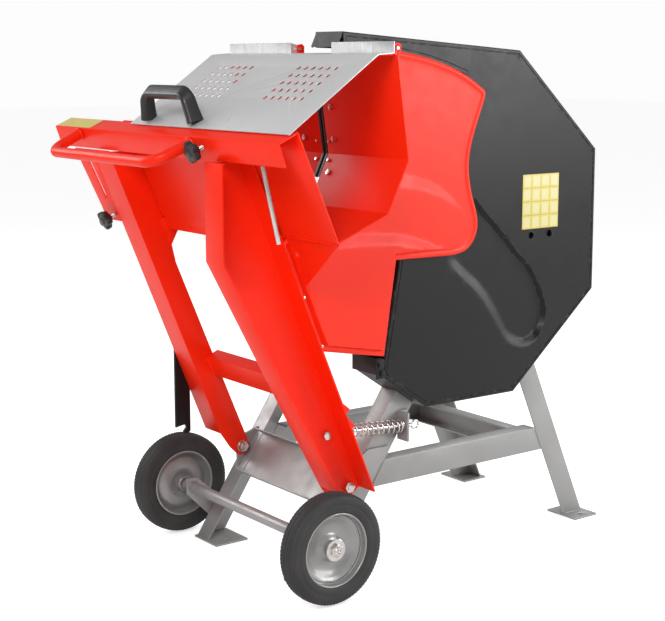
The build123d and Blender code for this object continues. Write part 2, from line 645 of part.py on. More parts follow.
# ---------------------------------------------------------------- star knobs
def star_knob(root, direction):
    """Five-lobed knob on a stud; root is where the stud leaves the sheet."""
    reach = 20
    direction = direction.normalized()
    knob_plane = Plane(origin=root + direction * reach, z_dir=direction)
    knob = (cyl_from(root, direction, 4.0, reach + 6)
            + Solid.make_cylinder(13.0, 16.0, knob_plane))
    for angle in range(0, 360, 72):
        a = math.radians(angle)
        lobe = knob_plane.from_local_coords(Vector(15 * math.cos(a), 15 * math.sin(a), 0))
        knob = knob + cyl_from(lobe, direction, 6.0, 14.0)
    return knob


save("front_knob", star_knob(Vector(187, -232.2, 997.0), Vector(0, -0.943, -0.333)))
save("side_knob", star_knob(Vector(-360, -142.4, 806.0), Vector(0, -0.925, -0.38)))

# ---------------------------------------------------------------- latch bar
latch_pivot = (-3.0, 510.0)
latch_outline = [
    (-24, 516), (-15, 526), (9, 526), (18, 516), (18, 262), (13, 257), (2, 257), (-2, 262),
    (2, 268), (6, 272), (4, 278), (-2, 279), (-24, 275)]
save("latch_bar", prism_x(latch_outline, -296.0, -290.0) - cyl_x(-300, -280, *latch_pivot, 6.06))

# ---------------------------------------------------------------- return spring
spring_x = 207.0
anchor_y, anchor_z = 296.0, 334.0
anchor = (box(190.2, 228, 288, 293, 300, 368)
          - cyl((spring_x, 270, 334.5), (spring_x, 300, 334.5), 8.0))
save("spring_anchor", anchor + box(190.2, 195.0, 290, 316, 322, 368))

# Rod along the spring axis: head on the bolt, spring seat, eye at the far end.
rod_dir = Vector(0, anchor_y - spring_bolt[0], anchor_z - spring_bolt[1]).normalized()
rod_start = Vector(spring_x, *spring_bolt)
rod = (cyl_from(rod_start, rod_dir, 4.5, 262)
       + Solid.make_torus(9.0, 2.5, Plane(origin=rod_start + rod_dir * 271, z_dir=(1, 0, 0)))
       + cyl_x(spring_x - 5, spring_x + 5, *spring_bolt, 12)
       + cyl_from(rod_start + rod_dir * 66, rod_dir, 16.0, 4.0))
save("spring_rod", rod - cyl_x(spring_x - 10, spring_x + 10, *spring_bolt, 6.06))

coil_start = rod_start + rod_dir * 71.5
coil_length = (287.0 - coil_start.Y) / rod_dir.Y - 5.0
turns = 11                          # sets the pitch over coil_length
helix = Helix(coil_length / turns, coil_length - 4.4, 13.6,
              center=tuple(coil_start + rod_dir * 2.2), direction=tuple(rod_dir))
wire_section = Plane(origin=helix @ 0, z_dir=helix % 0) * Circle(2.0)
save("return_spring", Part() + sweep(wire_section, path=helix, is_frenet=True))

# ---------------------------------------------------------------- cradle fasteners
# Screw heads on the right leg's rear flange, and a hex head on the spring bolt axis.
fasteners = []
flange_normal = Vector(0, 0.92, 0.393)
for z in (677.0, 566.0):
    start = Vector(268, right_rear_y(z), z) + flange_normal * 0.3
    fasteners.append(cyl_from(start, flange_normal, 6.0, 5.0))
fasteners.append(hex_x(220.2, 229, *spring_bolt, 19))

# Screw heads (x, z, radius) on the front of the hood, then on the rear wall below it.
hood_screws = [(226, 1074, 6.5), (117, 1005, 6.5), (223, 1005, 6.5), (163, 1000, 4.0),
               (207, 1000, 4.0)]
wall_screws = [(222, 934, 6.5), (163, 959, 4.0), (207, 959, 4.0)]
for screws, low, high, normal in (
        (hood_screws, wall_bend, hood_top, Vector(0, -0.989, -0.147)),
        (wall_screws, floor_end, wall_bend, Vector(0, -0.898, 0.440))):
    for x, z, radius in screws:
        y = low[0] + (high[0] - low[0]) * (z - low[1]) / (high[1] - low[1])
        fasteners.append(cyl_from(Vector(x, y, z) + normal * 0.2, normal, radius, 4.0))

# Hinge pins, latch pivot stud and spring bolt.
for x0, x1 in ((-135.0, -122.0), (107.0, 125.0), (263.0, 275.0), (438.0, 455.0)):
    fasteners.append(cyl_x(x0, x1, *hinge, 4.0 - 0.005))
fasteners.append(cyl_x(-300, -219.2, *latch_pivot, 6.0) + cyl_x(-303, -296.4, *latch_pivot, 10))
fasteners.append(cyl_x(spring_x - 8, 215.8, *spring_bolt, 6.0))
save("cradle_fasteners", fasteners)
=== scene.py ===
# A log saw on a two-wheeled frame: a cradle swings towards a guarded blade, with a lid above it.
# Shapes are in millimetres: X runs along the wheel axle with the right side at +X, Z is up, and
# y = 0 is the axle, with the push handle at -Y. Meshes are stored in metres about an origin
# that lies ORIGIN_Y from the axle towards +Y.
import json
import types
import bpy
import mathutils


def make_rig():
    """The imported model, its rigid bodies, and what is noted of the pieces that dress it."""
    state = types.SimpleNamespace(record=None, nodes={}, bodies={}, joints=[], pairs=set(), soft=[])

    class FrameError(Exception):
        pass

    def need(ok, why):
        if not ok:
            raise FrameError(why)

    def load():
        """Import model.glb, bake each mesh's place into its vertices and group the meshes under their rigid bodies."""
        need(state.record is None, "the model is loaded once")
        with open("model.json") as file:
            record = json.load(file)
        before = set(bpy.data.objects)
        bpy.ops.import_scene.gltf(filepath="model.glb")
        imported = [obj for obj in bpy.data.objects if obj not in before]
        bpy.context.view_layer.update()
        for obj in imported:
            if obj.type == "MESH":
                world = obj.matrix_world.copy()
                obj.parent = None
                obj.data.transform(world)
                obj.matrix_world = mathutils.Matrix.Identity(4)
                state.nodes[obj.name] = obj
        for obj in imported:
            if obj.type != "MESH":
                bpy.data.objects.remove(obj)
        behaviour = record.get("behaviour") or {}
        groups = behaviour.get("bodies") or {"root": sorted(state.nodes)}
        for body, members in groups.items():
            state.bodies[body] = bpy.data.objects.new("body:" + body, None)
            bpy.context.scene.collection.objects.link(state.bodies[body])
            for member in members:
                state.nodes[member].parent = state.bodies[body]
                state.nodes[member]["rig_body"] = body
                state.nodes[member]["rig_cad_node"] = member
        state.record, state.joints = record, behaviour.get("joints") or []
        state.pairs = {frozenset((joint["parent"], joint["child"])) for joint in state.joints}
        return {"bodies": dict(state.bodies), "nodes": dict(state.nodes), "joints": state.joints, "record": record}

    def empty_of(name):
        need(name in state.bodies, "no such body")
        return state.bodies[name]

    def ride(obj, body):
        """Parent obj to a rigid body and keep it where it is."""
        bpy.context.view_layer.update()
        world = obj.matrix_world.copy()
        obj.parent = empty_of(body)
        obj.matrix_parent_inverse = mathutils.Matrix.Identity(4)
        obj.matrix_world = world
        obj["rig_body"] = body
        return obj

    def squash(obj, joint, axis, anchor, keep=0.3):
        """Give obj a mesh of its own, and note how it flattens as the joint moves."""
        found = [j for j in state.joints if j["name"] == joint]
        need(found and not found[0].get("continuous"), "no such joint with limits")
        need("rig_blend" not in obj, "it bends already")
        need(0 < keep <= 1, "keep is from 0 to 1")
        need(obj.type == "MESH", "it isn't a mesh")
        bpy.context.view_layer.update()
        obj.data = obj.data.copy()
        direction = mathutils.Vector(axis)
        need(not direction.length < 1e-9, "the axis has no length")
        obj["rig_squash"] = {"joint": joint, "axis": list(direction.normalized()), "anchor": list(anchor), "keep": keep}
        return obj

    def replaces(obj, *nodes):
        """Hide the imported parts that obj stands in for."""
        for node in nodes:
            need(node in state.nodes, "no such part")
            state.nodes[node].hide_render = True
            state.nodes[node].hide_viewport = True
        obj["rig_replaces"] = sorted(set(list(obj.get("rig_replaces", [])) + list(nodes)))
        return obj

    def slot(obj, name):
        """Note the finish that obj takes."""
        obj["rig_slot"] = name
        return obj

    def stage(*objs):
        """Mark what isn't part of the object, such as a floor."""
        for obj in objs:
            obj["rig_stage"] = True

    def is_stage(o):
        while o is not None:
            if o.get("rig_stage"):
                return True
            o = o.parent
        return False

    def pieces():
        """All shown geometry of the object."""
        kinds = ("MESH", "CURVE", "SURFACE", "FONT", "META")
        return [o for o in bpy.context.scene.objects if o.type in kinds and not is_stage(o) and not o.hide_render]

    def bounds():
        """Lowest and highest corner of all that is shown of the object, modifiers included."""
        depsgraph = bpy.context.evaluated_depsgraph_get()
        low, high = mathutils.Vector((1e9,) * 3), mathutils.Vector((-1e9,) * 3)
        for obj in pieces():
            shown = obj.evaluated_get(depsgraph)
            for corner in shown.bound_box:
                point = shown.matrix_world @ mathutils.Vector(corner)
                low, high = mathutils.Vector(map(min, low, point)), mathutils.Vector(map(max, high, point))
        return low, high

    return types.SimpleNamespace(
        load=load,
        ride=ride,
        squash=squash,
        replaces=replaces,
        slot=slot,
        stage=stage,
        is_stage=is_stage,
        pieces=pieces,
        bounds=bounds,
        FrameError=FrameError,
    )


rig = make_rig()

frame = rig.load()
import bpy
import bmesh
import math
from mathutils import Vector, Euler, noise, geometry

NODES = frame["nodes"]
SLOT = {part["node"]: part["material_slot"] for part in frame["record"]["subparts"]}
BODY = {node: body
        for body, nodes in frame["record"]["behaviour"]["bodies"].items() for node in nodes}
MM = 0.001
ORIGIN_Y = 302.5
AXLE = (0, 128)          # y, z
scene = bpy.context.scene


def rounded_bounds():
    if not hasattr(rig, "bounds"):
        return []
    return [[round(float(c), 5) for c in corner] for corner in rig.bounds()]


size_before = rounded_bounds()


# ------------------------------------------------------------ shader nodes
class Nodes:
    """The node tree of a material or world, with short calls that add to it."""

    def __init__(self, owner):
        owner.use_nodes = True
        self.tree = owner.node_tree

    def feed(self, target, value):
        """Link a socket to the target, or set the target's own value."""
        if isinstance(value, bpy.types.NodeSocket):
            self.tree.links.new(value, target)
        elif target.type == "RGBA":
            target.default_value = (*value, 1)
        else:
            target.default_value = value

    def add(self, kind, inputs=None, **settings):
        node = self.tree.nodes.new(kind)
        for name, value in settings.items():
            setattr(node, name, value)
        for key, value in (inputs or {}).items():
            self.feed(node.inputs[key], value)
        return node

    def ramp(self, value, start=0.0, stop=1.0, low=0.0, high=1.0):
        """Carry a value from start..stop to low..high."""
        return self.add("ShaderNodeMapRange", {
            "From Min": start, "From Max": stop, "To Min": low, "To Max": high,
            "Value": value}).outputs["Result"]

    def by_ray(self, camera, others):
        """One value for camera rays and another for all other rays."""
        path = self.add("ShaderNodeLightPath")
        return self.ramp(path.outputs["Is Camera Ray"], low=others, high=camera)


class Material(Nodes):
    def __init__(self, name):
        self.material = bpy.data.materials.new(name)
        super().__init__(self.material)
        self.principled = self.tree.nodes["Principled BSDF"]
        self.position = self.add("ShaderNodeTexCoord").outputs["Object"]

    def set(self, name, value):
        self.feed(self.principled.inputs[name], value)

    def noise(self, scale, detail=4.0, roughness=0.55, stretch=None):
        node = self.add("ShaderNodeTexNoise",
                        {"Scale": scale, "Detail": detail, "Roughness": roughness})
        where = self.position
        if stretch:
            where = self.add("ShaderNodeMapping",
                             {"Scale": stretch, "Vector": where}).outputs["Vector"]
        self.feed(node.inputs["Vector"], where)
        return node.outputs["Fac"]

    def spread(self, value, low=0.0, high=1.0):
        """Stretch the middle of a noise over low..high."""
        return self.ramp(value, start=0.3, stop=0.7, low=low, high=high)

    def mix(self, factor, first, second):
        return self.add("ShaderNodeMix", {"Factor": factor, "A": first, "B": second},
                        data_type="RGBA").outputs["Result"]

    def math(self, operation, first, second=0.0):
        return self.add("ShaderNodeMath", {0: first, 1: second}, operation=operation).outputs[0]

    def edge_mask(self):
        """One on sharp edges, nought on flat faces."""
        bevel = self.add("ShaderNodeBevel", {"Radius": 0.0022}, samples=4)
        normal = self.add("ShaderNodeNewGeometry").outputs["Normal"]
        agreement = self.add("ShaderNodeVectorMath", {0: bevel.outputs["Normal"], 1: normal},
                             operation="DOT_PRODUCT")
        return self.ramp(agreement.outputs["Value"], start=0.995, stop=0.88)


def scaled(color, factor):
    return tuple(min(1.0, channel * factor) for channel in color)


def surface(name, color, metallic=0.0, rough=0.4, tone=0.08, tone_scale=5.0, rough_range=0.1,
            bump=0.15, bump_scale=350.0, bump_depth=0.0003, coat=0.0, worn=None, wear=0.5,
            stretch=None, tint=None, specular=0.5, wave=0.0, wave_scale=3.0):
    """Mottled colour with fine grain. tone is how far the colour strays, tint replaces its
    lighter end, worn is the colour on worn edges, and wave is a broad unevenness."""
    mat = Material(name)
    mat.set("Base Color", color)
    mat.set("Metallic", metallic)
    mat.set("Roughness", rough)
    mat.set("Specular IOR Level", specular)
    if coat:
        mat.set("Coat Weight", coat)
        mat.set("Coat Roughness", 0.12)
    mottle = mat.spread(mat.noise(tone_scale, detail=5.0))
    paint = mat.mix(mottle, scaled(color, 1 - tone), tint or scaled(color, 1 + tone))
    grain = mat.noise(bump_scale, detail=3.0, roughness=0.6, stretch=stretch)
    speckle = mat.math("MULTIPLY", mat.spread(grain), 0.25)
    paint = mat.mix(speckle, paint, scaled(color, 1 - tone * 1.6))
    if worn:
        edges = mat.edge_mask()
        patches = mat.ramp(mat.noise(scale=60.0, detail=6.0, roughness=0.7),
                           start=0.48, stop=0.62)
        edges = mat.math("MULTIPLY", edges, patches)
        edges = mat.math("MULTIPLY", edges, wear)
        paint = mat.mix(edges, paint, worn)
    mat.set("Base Color", paint)
    smudges = mat.noise(scale=28.0, detail=5.0, roughness=0.6, stretch=stretch)
    mat.set("Roughness", mat.spread(smudges, low=max(0.04, rough - rough_range),
                                    high=rough + rough_range))
    fine = mat.add("ShaderNodeBump",
                   {"Strength": bump, "Distance": bump_depth, "Height": grain})
    if wave:
        broad = mat.add("ShaderNodeBump", {"Strength": wave, "Distance": 0.004,
                                           "Height": mat.noise(wave_scale, detail=2.0)})
        mat.feed(fine.inputs["Normal"], broad.outputs["Normal"])
    mat.set("Normal", fine.outputs["Normal"])
    return mat


# ------------------------------------------------------------ materials, by slot
MAT = {
    "red_paint": surface(
        "red_powder_coat", (0.94, 0.022, 0.003), rough=0.36, tone=0.05, tone_scale=3.0,
        rough_range=0.03, bump=0.02, bump_scale=300, coat=0.03, specular=0.18,
        worn=(0.95, 0.16, 0.08), wave=0.03, wave_scale=5.0),
    "red_plastic": surface(
        "red_moulded_grain", (0.92, 0.024, 0.004), rough=0.40, tone=0.04, tone_scale=4.0,
        rough_range=0.05, bump=0.14, bump_scale=330, specular=0.30, bump_depth=0.0005,
        worn=(0.97, 0.2, 0.12), wear=0.35),
    "grey_paint": surface(
        "silver_grey_paint", (0.345, 0.345, 0.34), metallic=0.40, rough=0.42, tone=0.10,
        tone_scale=7.0, bump=0.08, bump_scale=420, worn=(0.70, 0.70, 0.70),
        wave=0.05, wave_scale=8.0),
    "black_paint": surface(
        "satin_black_powder_coat", (0.0065, 0.0065, 0.007), rough=0.38, tone=0.18,
        tone_scale=3.0, rough_range=0.04, bump=0.10, bump_scale=480, worn=(0.22, 0.22, 0.22),
        wear=0.6, specular=0.30, wave=0.04),
    "zinc": surface(
        "bright_zinc", (0.72, 0.72, 0.71), metallic=1.0, rough=0.26, tone=0.12,
        tone_scale=30.0, bump=0.12, bump_scale=600, tint=(0.80, 0.79, 0.74)),
    "lid_steel": surface(
        "satin_sheet_steel", (0.68, 0.68, 0.68), metallic=0.40, rough=0.36, tone=0.05,
        tone_scale=4.0, bump=0.16, bump_scale=180, stretch=(14, 1.0, 1.0),
        worn=(0.85, 0.85, 0.85), wear=0.7),
    "tyre_rubber": surface(
        "solid_rubber", (0.034, 0.034, 0.034), rough=0.62, tone=0.22, tone_scale=14.0,
        bump=0.3, bump_scale=380, tint=(0.052, 0.051, 0.050), specular=0.35),
    "rim_paint": surface(
        "silver_enamel", (0.36, 0.36, 0.355), metallic=0.5, rough=0.36, tone=0.10,
        tone_scale=18.0, bump_scale=300, worn=(0.8, 0.8, 0.8), wave=0.15, wave_scale=25.0),
    "black_plastic": surface(
        "black_moulded", (0.022, 0.022, 0.023), rough=0.36, tone=0.2, tone_scale=25.0,
        bump=0.3, bump_scale=420, worn=(0.10, 0.10, 0.10), wear=0.4),
    "blue_plastic": surface(
        "blue_moulded", (0.02, 0.10, 0.42), rough=0.35, tone=0.1, bump=0.2, bump_scale=500),
    "green_plastic": surface(
        "green_moulded", (0.02, 0.32, 0.06), rough=0.28, tone=0.1, bump=0.1, bump_scale=500),
    "stop_red": surface(
        "stop_red_moulded", (0.62, 0.012, 0.01), rough=0.28, tone=0.1, bump=0.1,
        bump_scale=500),
    "motor_cast": surface(
        "cast_motor_paint", (0.17, 0.18, 0.19), rough=0.5, tone=0.16, tone_scale=12.0,
        bump=0.45, bump_scale=260, bump_depth=0.0006, worn=(0.4, 0.4, 0.4)),
    "core_steel": surface(
        "laminated_core", (0.36, 0.36, 0.38), metallic=0.9, rough=0.5, tone=0.1, bump=0.4,
        bump_scale=300, stretch=(8, 1, 1)),
    "bearing_steel": surface(
        "ground_steel", (0.62, 0.62, 0.63), metallic=1.0, rough=0.2, tone=0.06,
        tone_scale=40.0, bump=0.08, bump_scale=500),
    "blade_steel": surface(
        "brushed_blade", (0.50, 0.51, 0.52), metallic=0.85, rough=0.40, tone=0.06,
        tone_scale=6.0, rough_range=0.02, bump=0.04, bump_scale=260),
    "carbide": surface(
        "sintered_carbide", (0.30, 0.29, 0.28), metallic=0.9, rough=0.45, tone=0.1,
        tone_scale=60.0, bump=0.2, bump_scale=700),
    "label": surface(
        "plain_yellow_film", (0.66, 0.56, 0.17), rough=0.42, tone=0.05, tone_scale=40.0,
        bump=0.08, bump_scale=500),
}


def paint_shade_on_lid_folds(mat):
    """Painted shade: darken the colour of the lid's faces that look towards -Y."""
    paint = mat.principled.inputs["Base Color"].links[0].from_socket
    normal = mat.add("ShaderNodeTexCoord").outputs["Normal"]
    facing = mat.add("ShaderNodeSeparateXYZ", {0: normal}).outputs["Y"]
    # painted shade: the colour of faces that look towards -Y is darkened to as little as half
    shade = mat.ramp(facing, start=-0.97, stop=-0.75, low=0.50, high=1.0)
    shaded_colour = mat.add("ShaderNodeVectorMath", {0: paint, "Scale": shade}, operation="SCALE")
    mat.set("Base Color", shaded_colour.outputs[0])


paint_shade_on_lid_folds(MAT["lid_steel"])


def grid_film():
    """Yellow film on a plane of constant x, with a thin darker grid and paler cells."""
    y_range = (0.638 - ORIGIN_Y * MM, 0.760 - ORIGIN_Y * MM)     # metres
    z_range = (0.770, 0.902)
    cells = 4.0                                                  # each way
    mat = Material("yellow_grid_film")
    split = mat.add("ShaderNodeSeparateXYZ", {0: mat.position})
    from_centre = []
    for axis, (start, stop) in (("Y", y_range), ("Z", z_range)):
        count = mat.ramp(split.outputs[axis], start=start, stop=stop, high=cells)
        offset = mat.math("SUBTRACT", mat.math("FRACT", count), 0.5)
        from_centre.append(mat.math("ABSOLUTE", offset))
    farthest = mat.math("MAXIMUM", *from_centre)
    line = mat.ramp(farthest, start=0.465, stop=0.485)
    cell = mat.ramp(farthest, start=0.36, stop=0.34, high=0.75)
    film = mat.mix(mat.spread(mat.noise(scale=90.0)), (0.66, 0.56, 0.13), (0.72, 0.62, 0.17))
    film = mat.mix(cell, film, (0.72, 0.68, 0.40))
    film = mat.mix(line, film, (0.45, 0.38, 0.10))
    mat.set("Base Color", (0.84, 0.70, 0.2))
    mat.set("Base Color", film)
    mat.set("Roughness", mat.spread(mat.noise(scale=40.0), low=0.38, high=0.5))
    return mat


# ------------------------------------------------------------ finishing a mesh
def link_piece(mesh, name, mat, slot, body, angle, node=None):
    data = bpy.data.meshes.new(name)
    mesh.to_mesh(data)
    mesh.free()
    data.shade_smooth()
    data.set_sharp_from_angle(angle=math.radians(angle))
    data.materials.clear()       # also resets the faces' material numbers
    data.materials.append(mat.material)
    obj = bpy.data.objects.new(name, data)
    scene.collection.objects.link(obj)
    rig.ride(obj, body)
    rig.slot(obj, slot)
    if node:
        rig.replaces(obj, node)
    return obj


def finish(mesh, name, slot, body, angle, node=None):
    bmesh.ops.recalc_face_normals(mesh, faces=mesh.faces)
    return link_piece(mesh, name, MAT[slot], slot, body, angle, node)


def round_edges(mesh, edges, width):
    bmesh.ops.bevel(mesh, geom=edges, offset=width * MM, segments=2, profile=0.6,
                    affect="EDGES", clamp_overlap=True)


# ------------------------------------------------------------ solids
def add_shell(mesh, points, faces):
    """Add points in millimetres and the faces between them."""
    verts = [mesh.verts.new((x * MM, (y - ORIGIN_Y) * MM, z * MM)) for x, y, z in points]
    for face in faces:
        # bmesh refuses a face that repeats another or uses a corner twice; it is left out.
        try:
            mesh.faces.new([verts[i] for i in face])
        except ValueError:
            pass


def add_rows(mesh, points, around, ring=False):
    """Skin closed rows of `around` points; the ends are capped unless the rows form a ring."""
    rows = len(points) // around
    faces = []
    for row in range(rows if ring else rows - 1):
        here, there = row * around, (row + 1) % rows * around
        for i in range(around):
            j = (i + 1) % around
            faces.append((here + i, here + j, there + j, there + i))
    if not ring:
        faces.append(tuple(range(around))[::-1])
        faces.append(tuple(range(len(points) - around, len(points))))
    add_shell(mesh, points, faces)


def lathe(mesh, profile, axis, segments, middle_x=0.0, swell=None):
    """Turn a closed profile of (x, radius) about the X line through axis (y, z).
    swell(i, k) is added to the radius of profile point i at segment k."""
    points = []
    for k in range(segments):
        turn = 2 * math.pi * k / segments
        for i, (x, radius) in enumerate(profile):
            if swell:
                radius += swell(i, k)
            points.append((middle_x + x, axis[0] + radius * math.cos(turn),
                           axis[1] + radius * math.sin(turn)))
    add_rows(mesh, points, len(profile), ring=True)


def mirrored(profile, side):
    return [(side * x, radius) for x, radius in profile]


def frames(path):
    """Each point of a path with two untwisted side directions and the direction along it."""
    places = [Vector(point) for point in path]
    last = len(places) - 1
    along = [(places[min(last, i + 1)] - places[max(0, i - 1)]).normalized()
             for i in range(last + 1)]
    side = Vector((0, 0, 1)) if abs(along[0].z) < 0.9 else Vector((1, 0, 0))
    side = (side - along[0] * side.dot(along[0])).normalized()
    result = []
    for place, ahead in zip(places, along):
        side = (side - ahead * side.dot(ahead)).normalized()
        result.append((place, side, ahead.cross(side).normalized(), ahead))
    return result


def sweep(mesh, path, section, scales=None):
    """Carry a closed section along a path, scaled at each point if scales are given."""
    points = []
    for k, (place, side, other, _) in enumerate(frames(path)):
        scale = scales[k] if scales else 1.0
        points += [place + side * (u * scale) + other * (v * scale) for u, v in section]
    add_rows(mesh, points, len(section))


def bead(mesh, start, end, radius, seed):
    """Weld bead: a row of overlapping ripples, tapered at both ends."""
    start, end = Vector(start), Vector(end)
    count = max(4, int((end - start).length / 1.6))
    path, radii = [], []
    for k in range(count + 1):
        t = k / count
        path.append(start.lerp(end, t))
        ripple = (0.82 + 0.18 * abs(math.sin(k * 1.15 + seed))
                  + 0.10 * noise.noise(Vector((k * 0.6, seed * 3.1, 0))))
        radii.append(radius * ripple * min(1.0, 0.35 + 4.0 * min(t, 1 - t)))
    sweep(mesh, path, circle(1.0, 10), radii)


# ------------------------------------------------------------ sections and paths
def circle(radius, count, centre=(0, 0)):
    turns = [2 * math.pi * k / count for k in range(count)]
    return [(centre[0] + radius * math.cos(a), centre[1] + radius * math.sin(a)) for a in turns]


def round_rect(width, height, radius, steps=5):
    across, up = width / 2 - radius, height / 2 - radius
    corners = ((across, up, 0), (-across, up, 90), (-across, -up, 180), (across, -up, 270))
    points = []
    for x, y, first in corners:
        for k in range(steps + 1):
            turn = math.radians(first + 90 * k / steps)
            points.append((x + radius * math.cos(turn), y + radius * math.sin(turn)))
    return points


def fillet_line(path, radius, steps):
    """Open line with its inner corners rounded."""
    corners = [Vector(point) for point in path]
    points = [corners[0]]
    for before, corner, after in zip(corners, corners[1:], corners[2:]):
        back, ahead = (before - corner).normalized(), (after - corner).normalized()
        half = back.angle(ahead) / 2
        reach = min(radius / math.tan(half), (before - corner).length * 0.48,
                    (after - corner).length * 0.48)
        distance = reach * math.tan(half) / math.sin(half)
        centre = corner + (back + ahead).normalized() * distance
        start, end = corner + back * reach - centre, corner + ahead * reach - centre
        total = start.angle(end)
        for k in range(steps + 1):
            t = k / steps
            points.append(centre + (start * math.sin((1 - t) * total)
                                    + end * math.sin(t * total)) / math.sin(total))
    points.append(corners[-1])
    return points


def split_spans(path, step):
    """The path's points with others between, leaving out the last point."""
    points = []
    for start, end in zip(path[:-1], path[1:]):
        count = max(1, int((end - start).length / step))
        points += [start.lerp(end, k / count) for k in range(count)]
    return points


def densify(path, step):
    return split_spans(path, step) + [path[-1]]


# ------------------------------------------------------------ outlines in the YZ plane
def inside(point, outline):
    y, z = point
    result = False
    for i, (y1, z1) in enumerate(outline):
        y0, z0 = outline[i - 1]
        if (z1 > z) != (z0 > z) and y < (y0 - y1) * (z - z1) / (z0 - z1) + y1:
            result = not result
    return result


def edge_distance(point, outline):
    best = 1e9
    for i, (y1, z1) in enumerate(outline):
        y0, z0 = outline[i - 1]
        run, rise = y1 - y0, z1 - z0
        square = run * run + rise * rise
        t = 0
        if square:
            t = max(0, min(1, ((point[0] - y0) * run + (point[1] - z0) * rise) / square))
        best = min(best, math.hypot(point[0] - y0 - run * t, point[1] - z0 - rise * t))
    return best


def inset(outline, distance):
    count = len(outline)
    following = outline[1:] + outline[:1]
    area = sum(p[0] * q[1] - q[0] * p[1] for p, q in zip(outline, following))
    sign = 1 if area > 0 else -1

    def normal(start, end):
        run, rise = end[0] - start[0], end[1] - start[1]
        length = math.hypot(run, rise)
        return -rise / length * sign, run / length * sign

    points = []
    for i, (y, z) in enumerate(outline):
        y1, z1 = normal(outline[i - 1], (y, z))
        y2, z2 = normal((y, z), outline[(i + 1) % count])
        reach = distance / max(0.3, 1 + y1 * y2 + z1 * z2)
        points.append((y + (y1 + y2) * reach, z + (z1 + z2) * reach))
    return points


def smooth_loop(outline, sharp=(), steps=3):
    """Catmull-Rom through a closed loop; the points numbered in sharp stay corners."""
    count = len(outline)
    points = []
    for i in range(count):
        j = (i + 1) % count
        start, end = Vector(outline[i]), Vector(outline[j])
        if i in sharp and j in sharp:
            points.append(tuple(start))
            continue
        before = start * 2 - end if i in sharp else Vector(outline[i - 1])
        after = end * 2 - start if j in sharp else Vector(outline[(i + 2) % count])
        for k in range(steps):
            t = k / steps
            points.append(tuple(0.5 * (
                (2 * start) + (end - before) * t
                + (2 * before - 5 * start + 4 * end - after) * t * t
                + (3 * start - before - 3 * end + after) * t ** 3)))
    return points


def relief(mesh, outline, rings, height, step, back, loops=(), lines=(), holes=()):
    """Solid panel facing +X. rings are (inset, x) from the edge inward, and the last is the
    field, to which height(y, z) is added. back(x) is the x behind a face point. loops and
    lines are creases that the triangles follow."""
    points, edges, levels = [], [], []

    def add_line(line, closed=True, x=None):
        first = len(points)
        points.extend(Vector((y, z)) for y, z in line)
        levels.extend([x] * len(line))
        count = len(line)
        for i in range(count if closed else count - 1):
            edges.append((first + i, first + (i + 1) % count))

    for distance, x in rings:
        field = inset(outline, distance) if distance > 0 else outline
        add_line(field, x=x)
    field_x = rings[-1][1]
    for loop in loops:
        add_line(loop)
    for line in lines:
        add_line(line, closed=False)
    for hole in holes:
        add_line(hole)

    # Staggered rows of points fill the field.
    low_z, high_z = min(z for _, z in outline), max(z for _, z in outline)
    y, high_y = min(y for y, _ in outline), max(y for y, _ in outline)
    row = 0
    while y < high_y:
        z = low_z + (step / 2 if row % 2 else 0)
        while z < high_z:
            if inside((y, z), field) and edge_distance((y, z), field) > step * 0.4:
                points.append(Vector((y, z)))
                levels.append(None)
            z += step
        y += step * 0.87
        row += 1

    flat, _, triangles, sources, _, _ = geometry.delaunay_2d_cdt(points, edges, [], 0, 0.05)
    heights = []
    for point, origins in zip(flat, sources):
        x = None
        for origin in origins:
            if levels[origin] is not None:
                x = levels[origin]
        if x is None or x == field_x:
            x = field_x + height(point.x, point.y)
        heights.append(x)
    kept = []
    for face in triangles:
        centre = (sum(flat[i].x for i in face) / len(face),
                  sum(flat[i].y for i in face) / len(face))
        if inside(centre, outline) and not any(inside(centre, hole) for hole in holes):
            kept.append(face)
    used = sorted(set(i for face in kept for i in face))
    number = {i: k for k, i in enumerate(used)}
    count = len(used)
    verts = [(heights[i], flat[i].x, flat[i].y) for i in used]
    verts += [(back(x), y, z) for x, y, z in verts]
    front = [tuple(number[i] for i in face) for face in kept]
    rear = [tuple(count + i for i in face[::-1]) for face in front]
    uses = {}
    for face in front:
        for start, end in zip(face, face[1:] + face[:1]):
            key = (min(start, end), max(start, end))
            uses[key] = uses.get(key, 0) + 1
    walls = [(a, b, count + b, count + a) for (a, b), times in uses.items() if times == 1]
    add_shell(mesh, verts, front + rear + walls)


def ease(t):
    t = max(0.0, min(1.0, t))
    return t * t * (3 - 2 * t)


# ------------------------------------------------------------ guard: folded pan, pressed panel
# All outlines are (y, z).
GUARD_RIM = [(95, 1233), (621, 1195), (888, 956), (891, 604), (622, 374), (342, 376), (209, 466)]
GUARD_MOUTH = [
    (216, 504), (258, 733), (272, 835), (380, 925), (445, 1141), (400, 1156), (350, 1170),
    (300, 1181), (250, 1189), (200, 1194.5), (150, 1197.5), (95, 1199)]
# The pressed panel's slope runs from the outer line to the inner one.
PANEL_OUTER = [
    (394, 719), (418, 694), (453, 663), (496, 627), (536, 579), (569, 534), (590, 505),
    (615, 488), (652, 479), (693, 489), (715, 515), (726, 548), (727, 575), (711, 617),
    (677, 672), (626, 719), (577, 769), (521, 819), (470, 862), (425, 800)]
PANEL_INNER = [
    (436, 716), (467, 690), (507, 661), (543, 625), (568, 590), (588, 558), (605, 530),
    (630, 511), (663, 502), (692, 509), (710, 527), (719, 552), (720, 574), (704, 613),
    (670, 667), (619, 713), (570, 763), (514, 813), (474, 848), (449, 795)]
PANEL_DEPTH = 11.0
SIGHT_HOLES = ((670, 754), (732, 755))
GUARD_FACE_X = 231.2
GUARD_EDGE = [                     # inset, x
    (0.0, 228.6), (0.7, 230.4), (2.2, GUARD_FACE_X), (7.5, GUARD_FACE_X), (8.3, 229.7),
    (9.6, 229.7), (10.8, 231.0), (14.0, 231.0)]
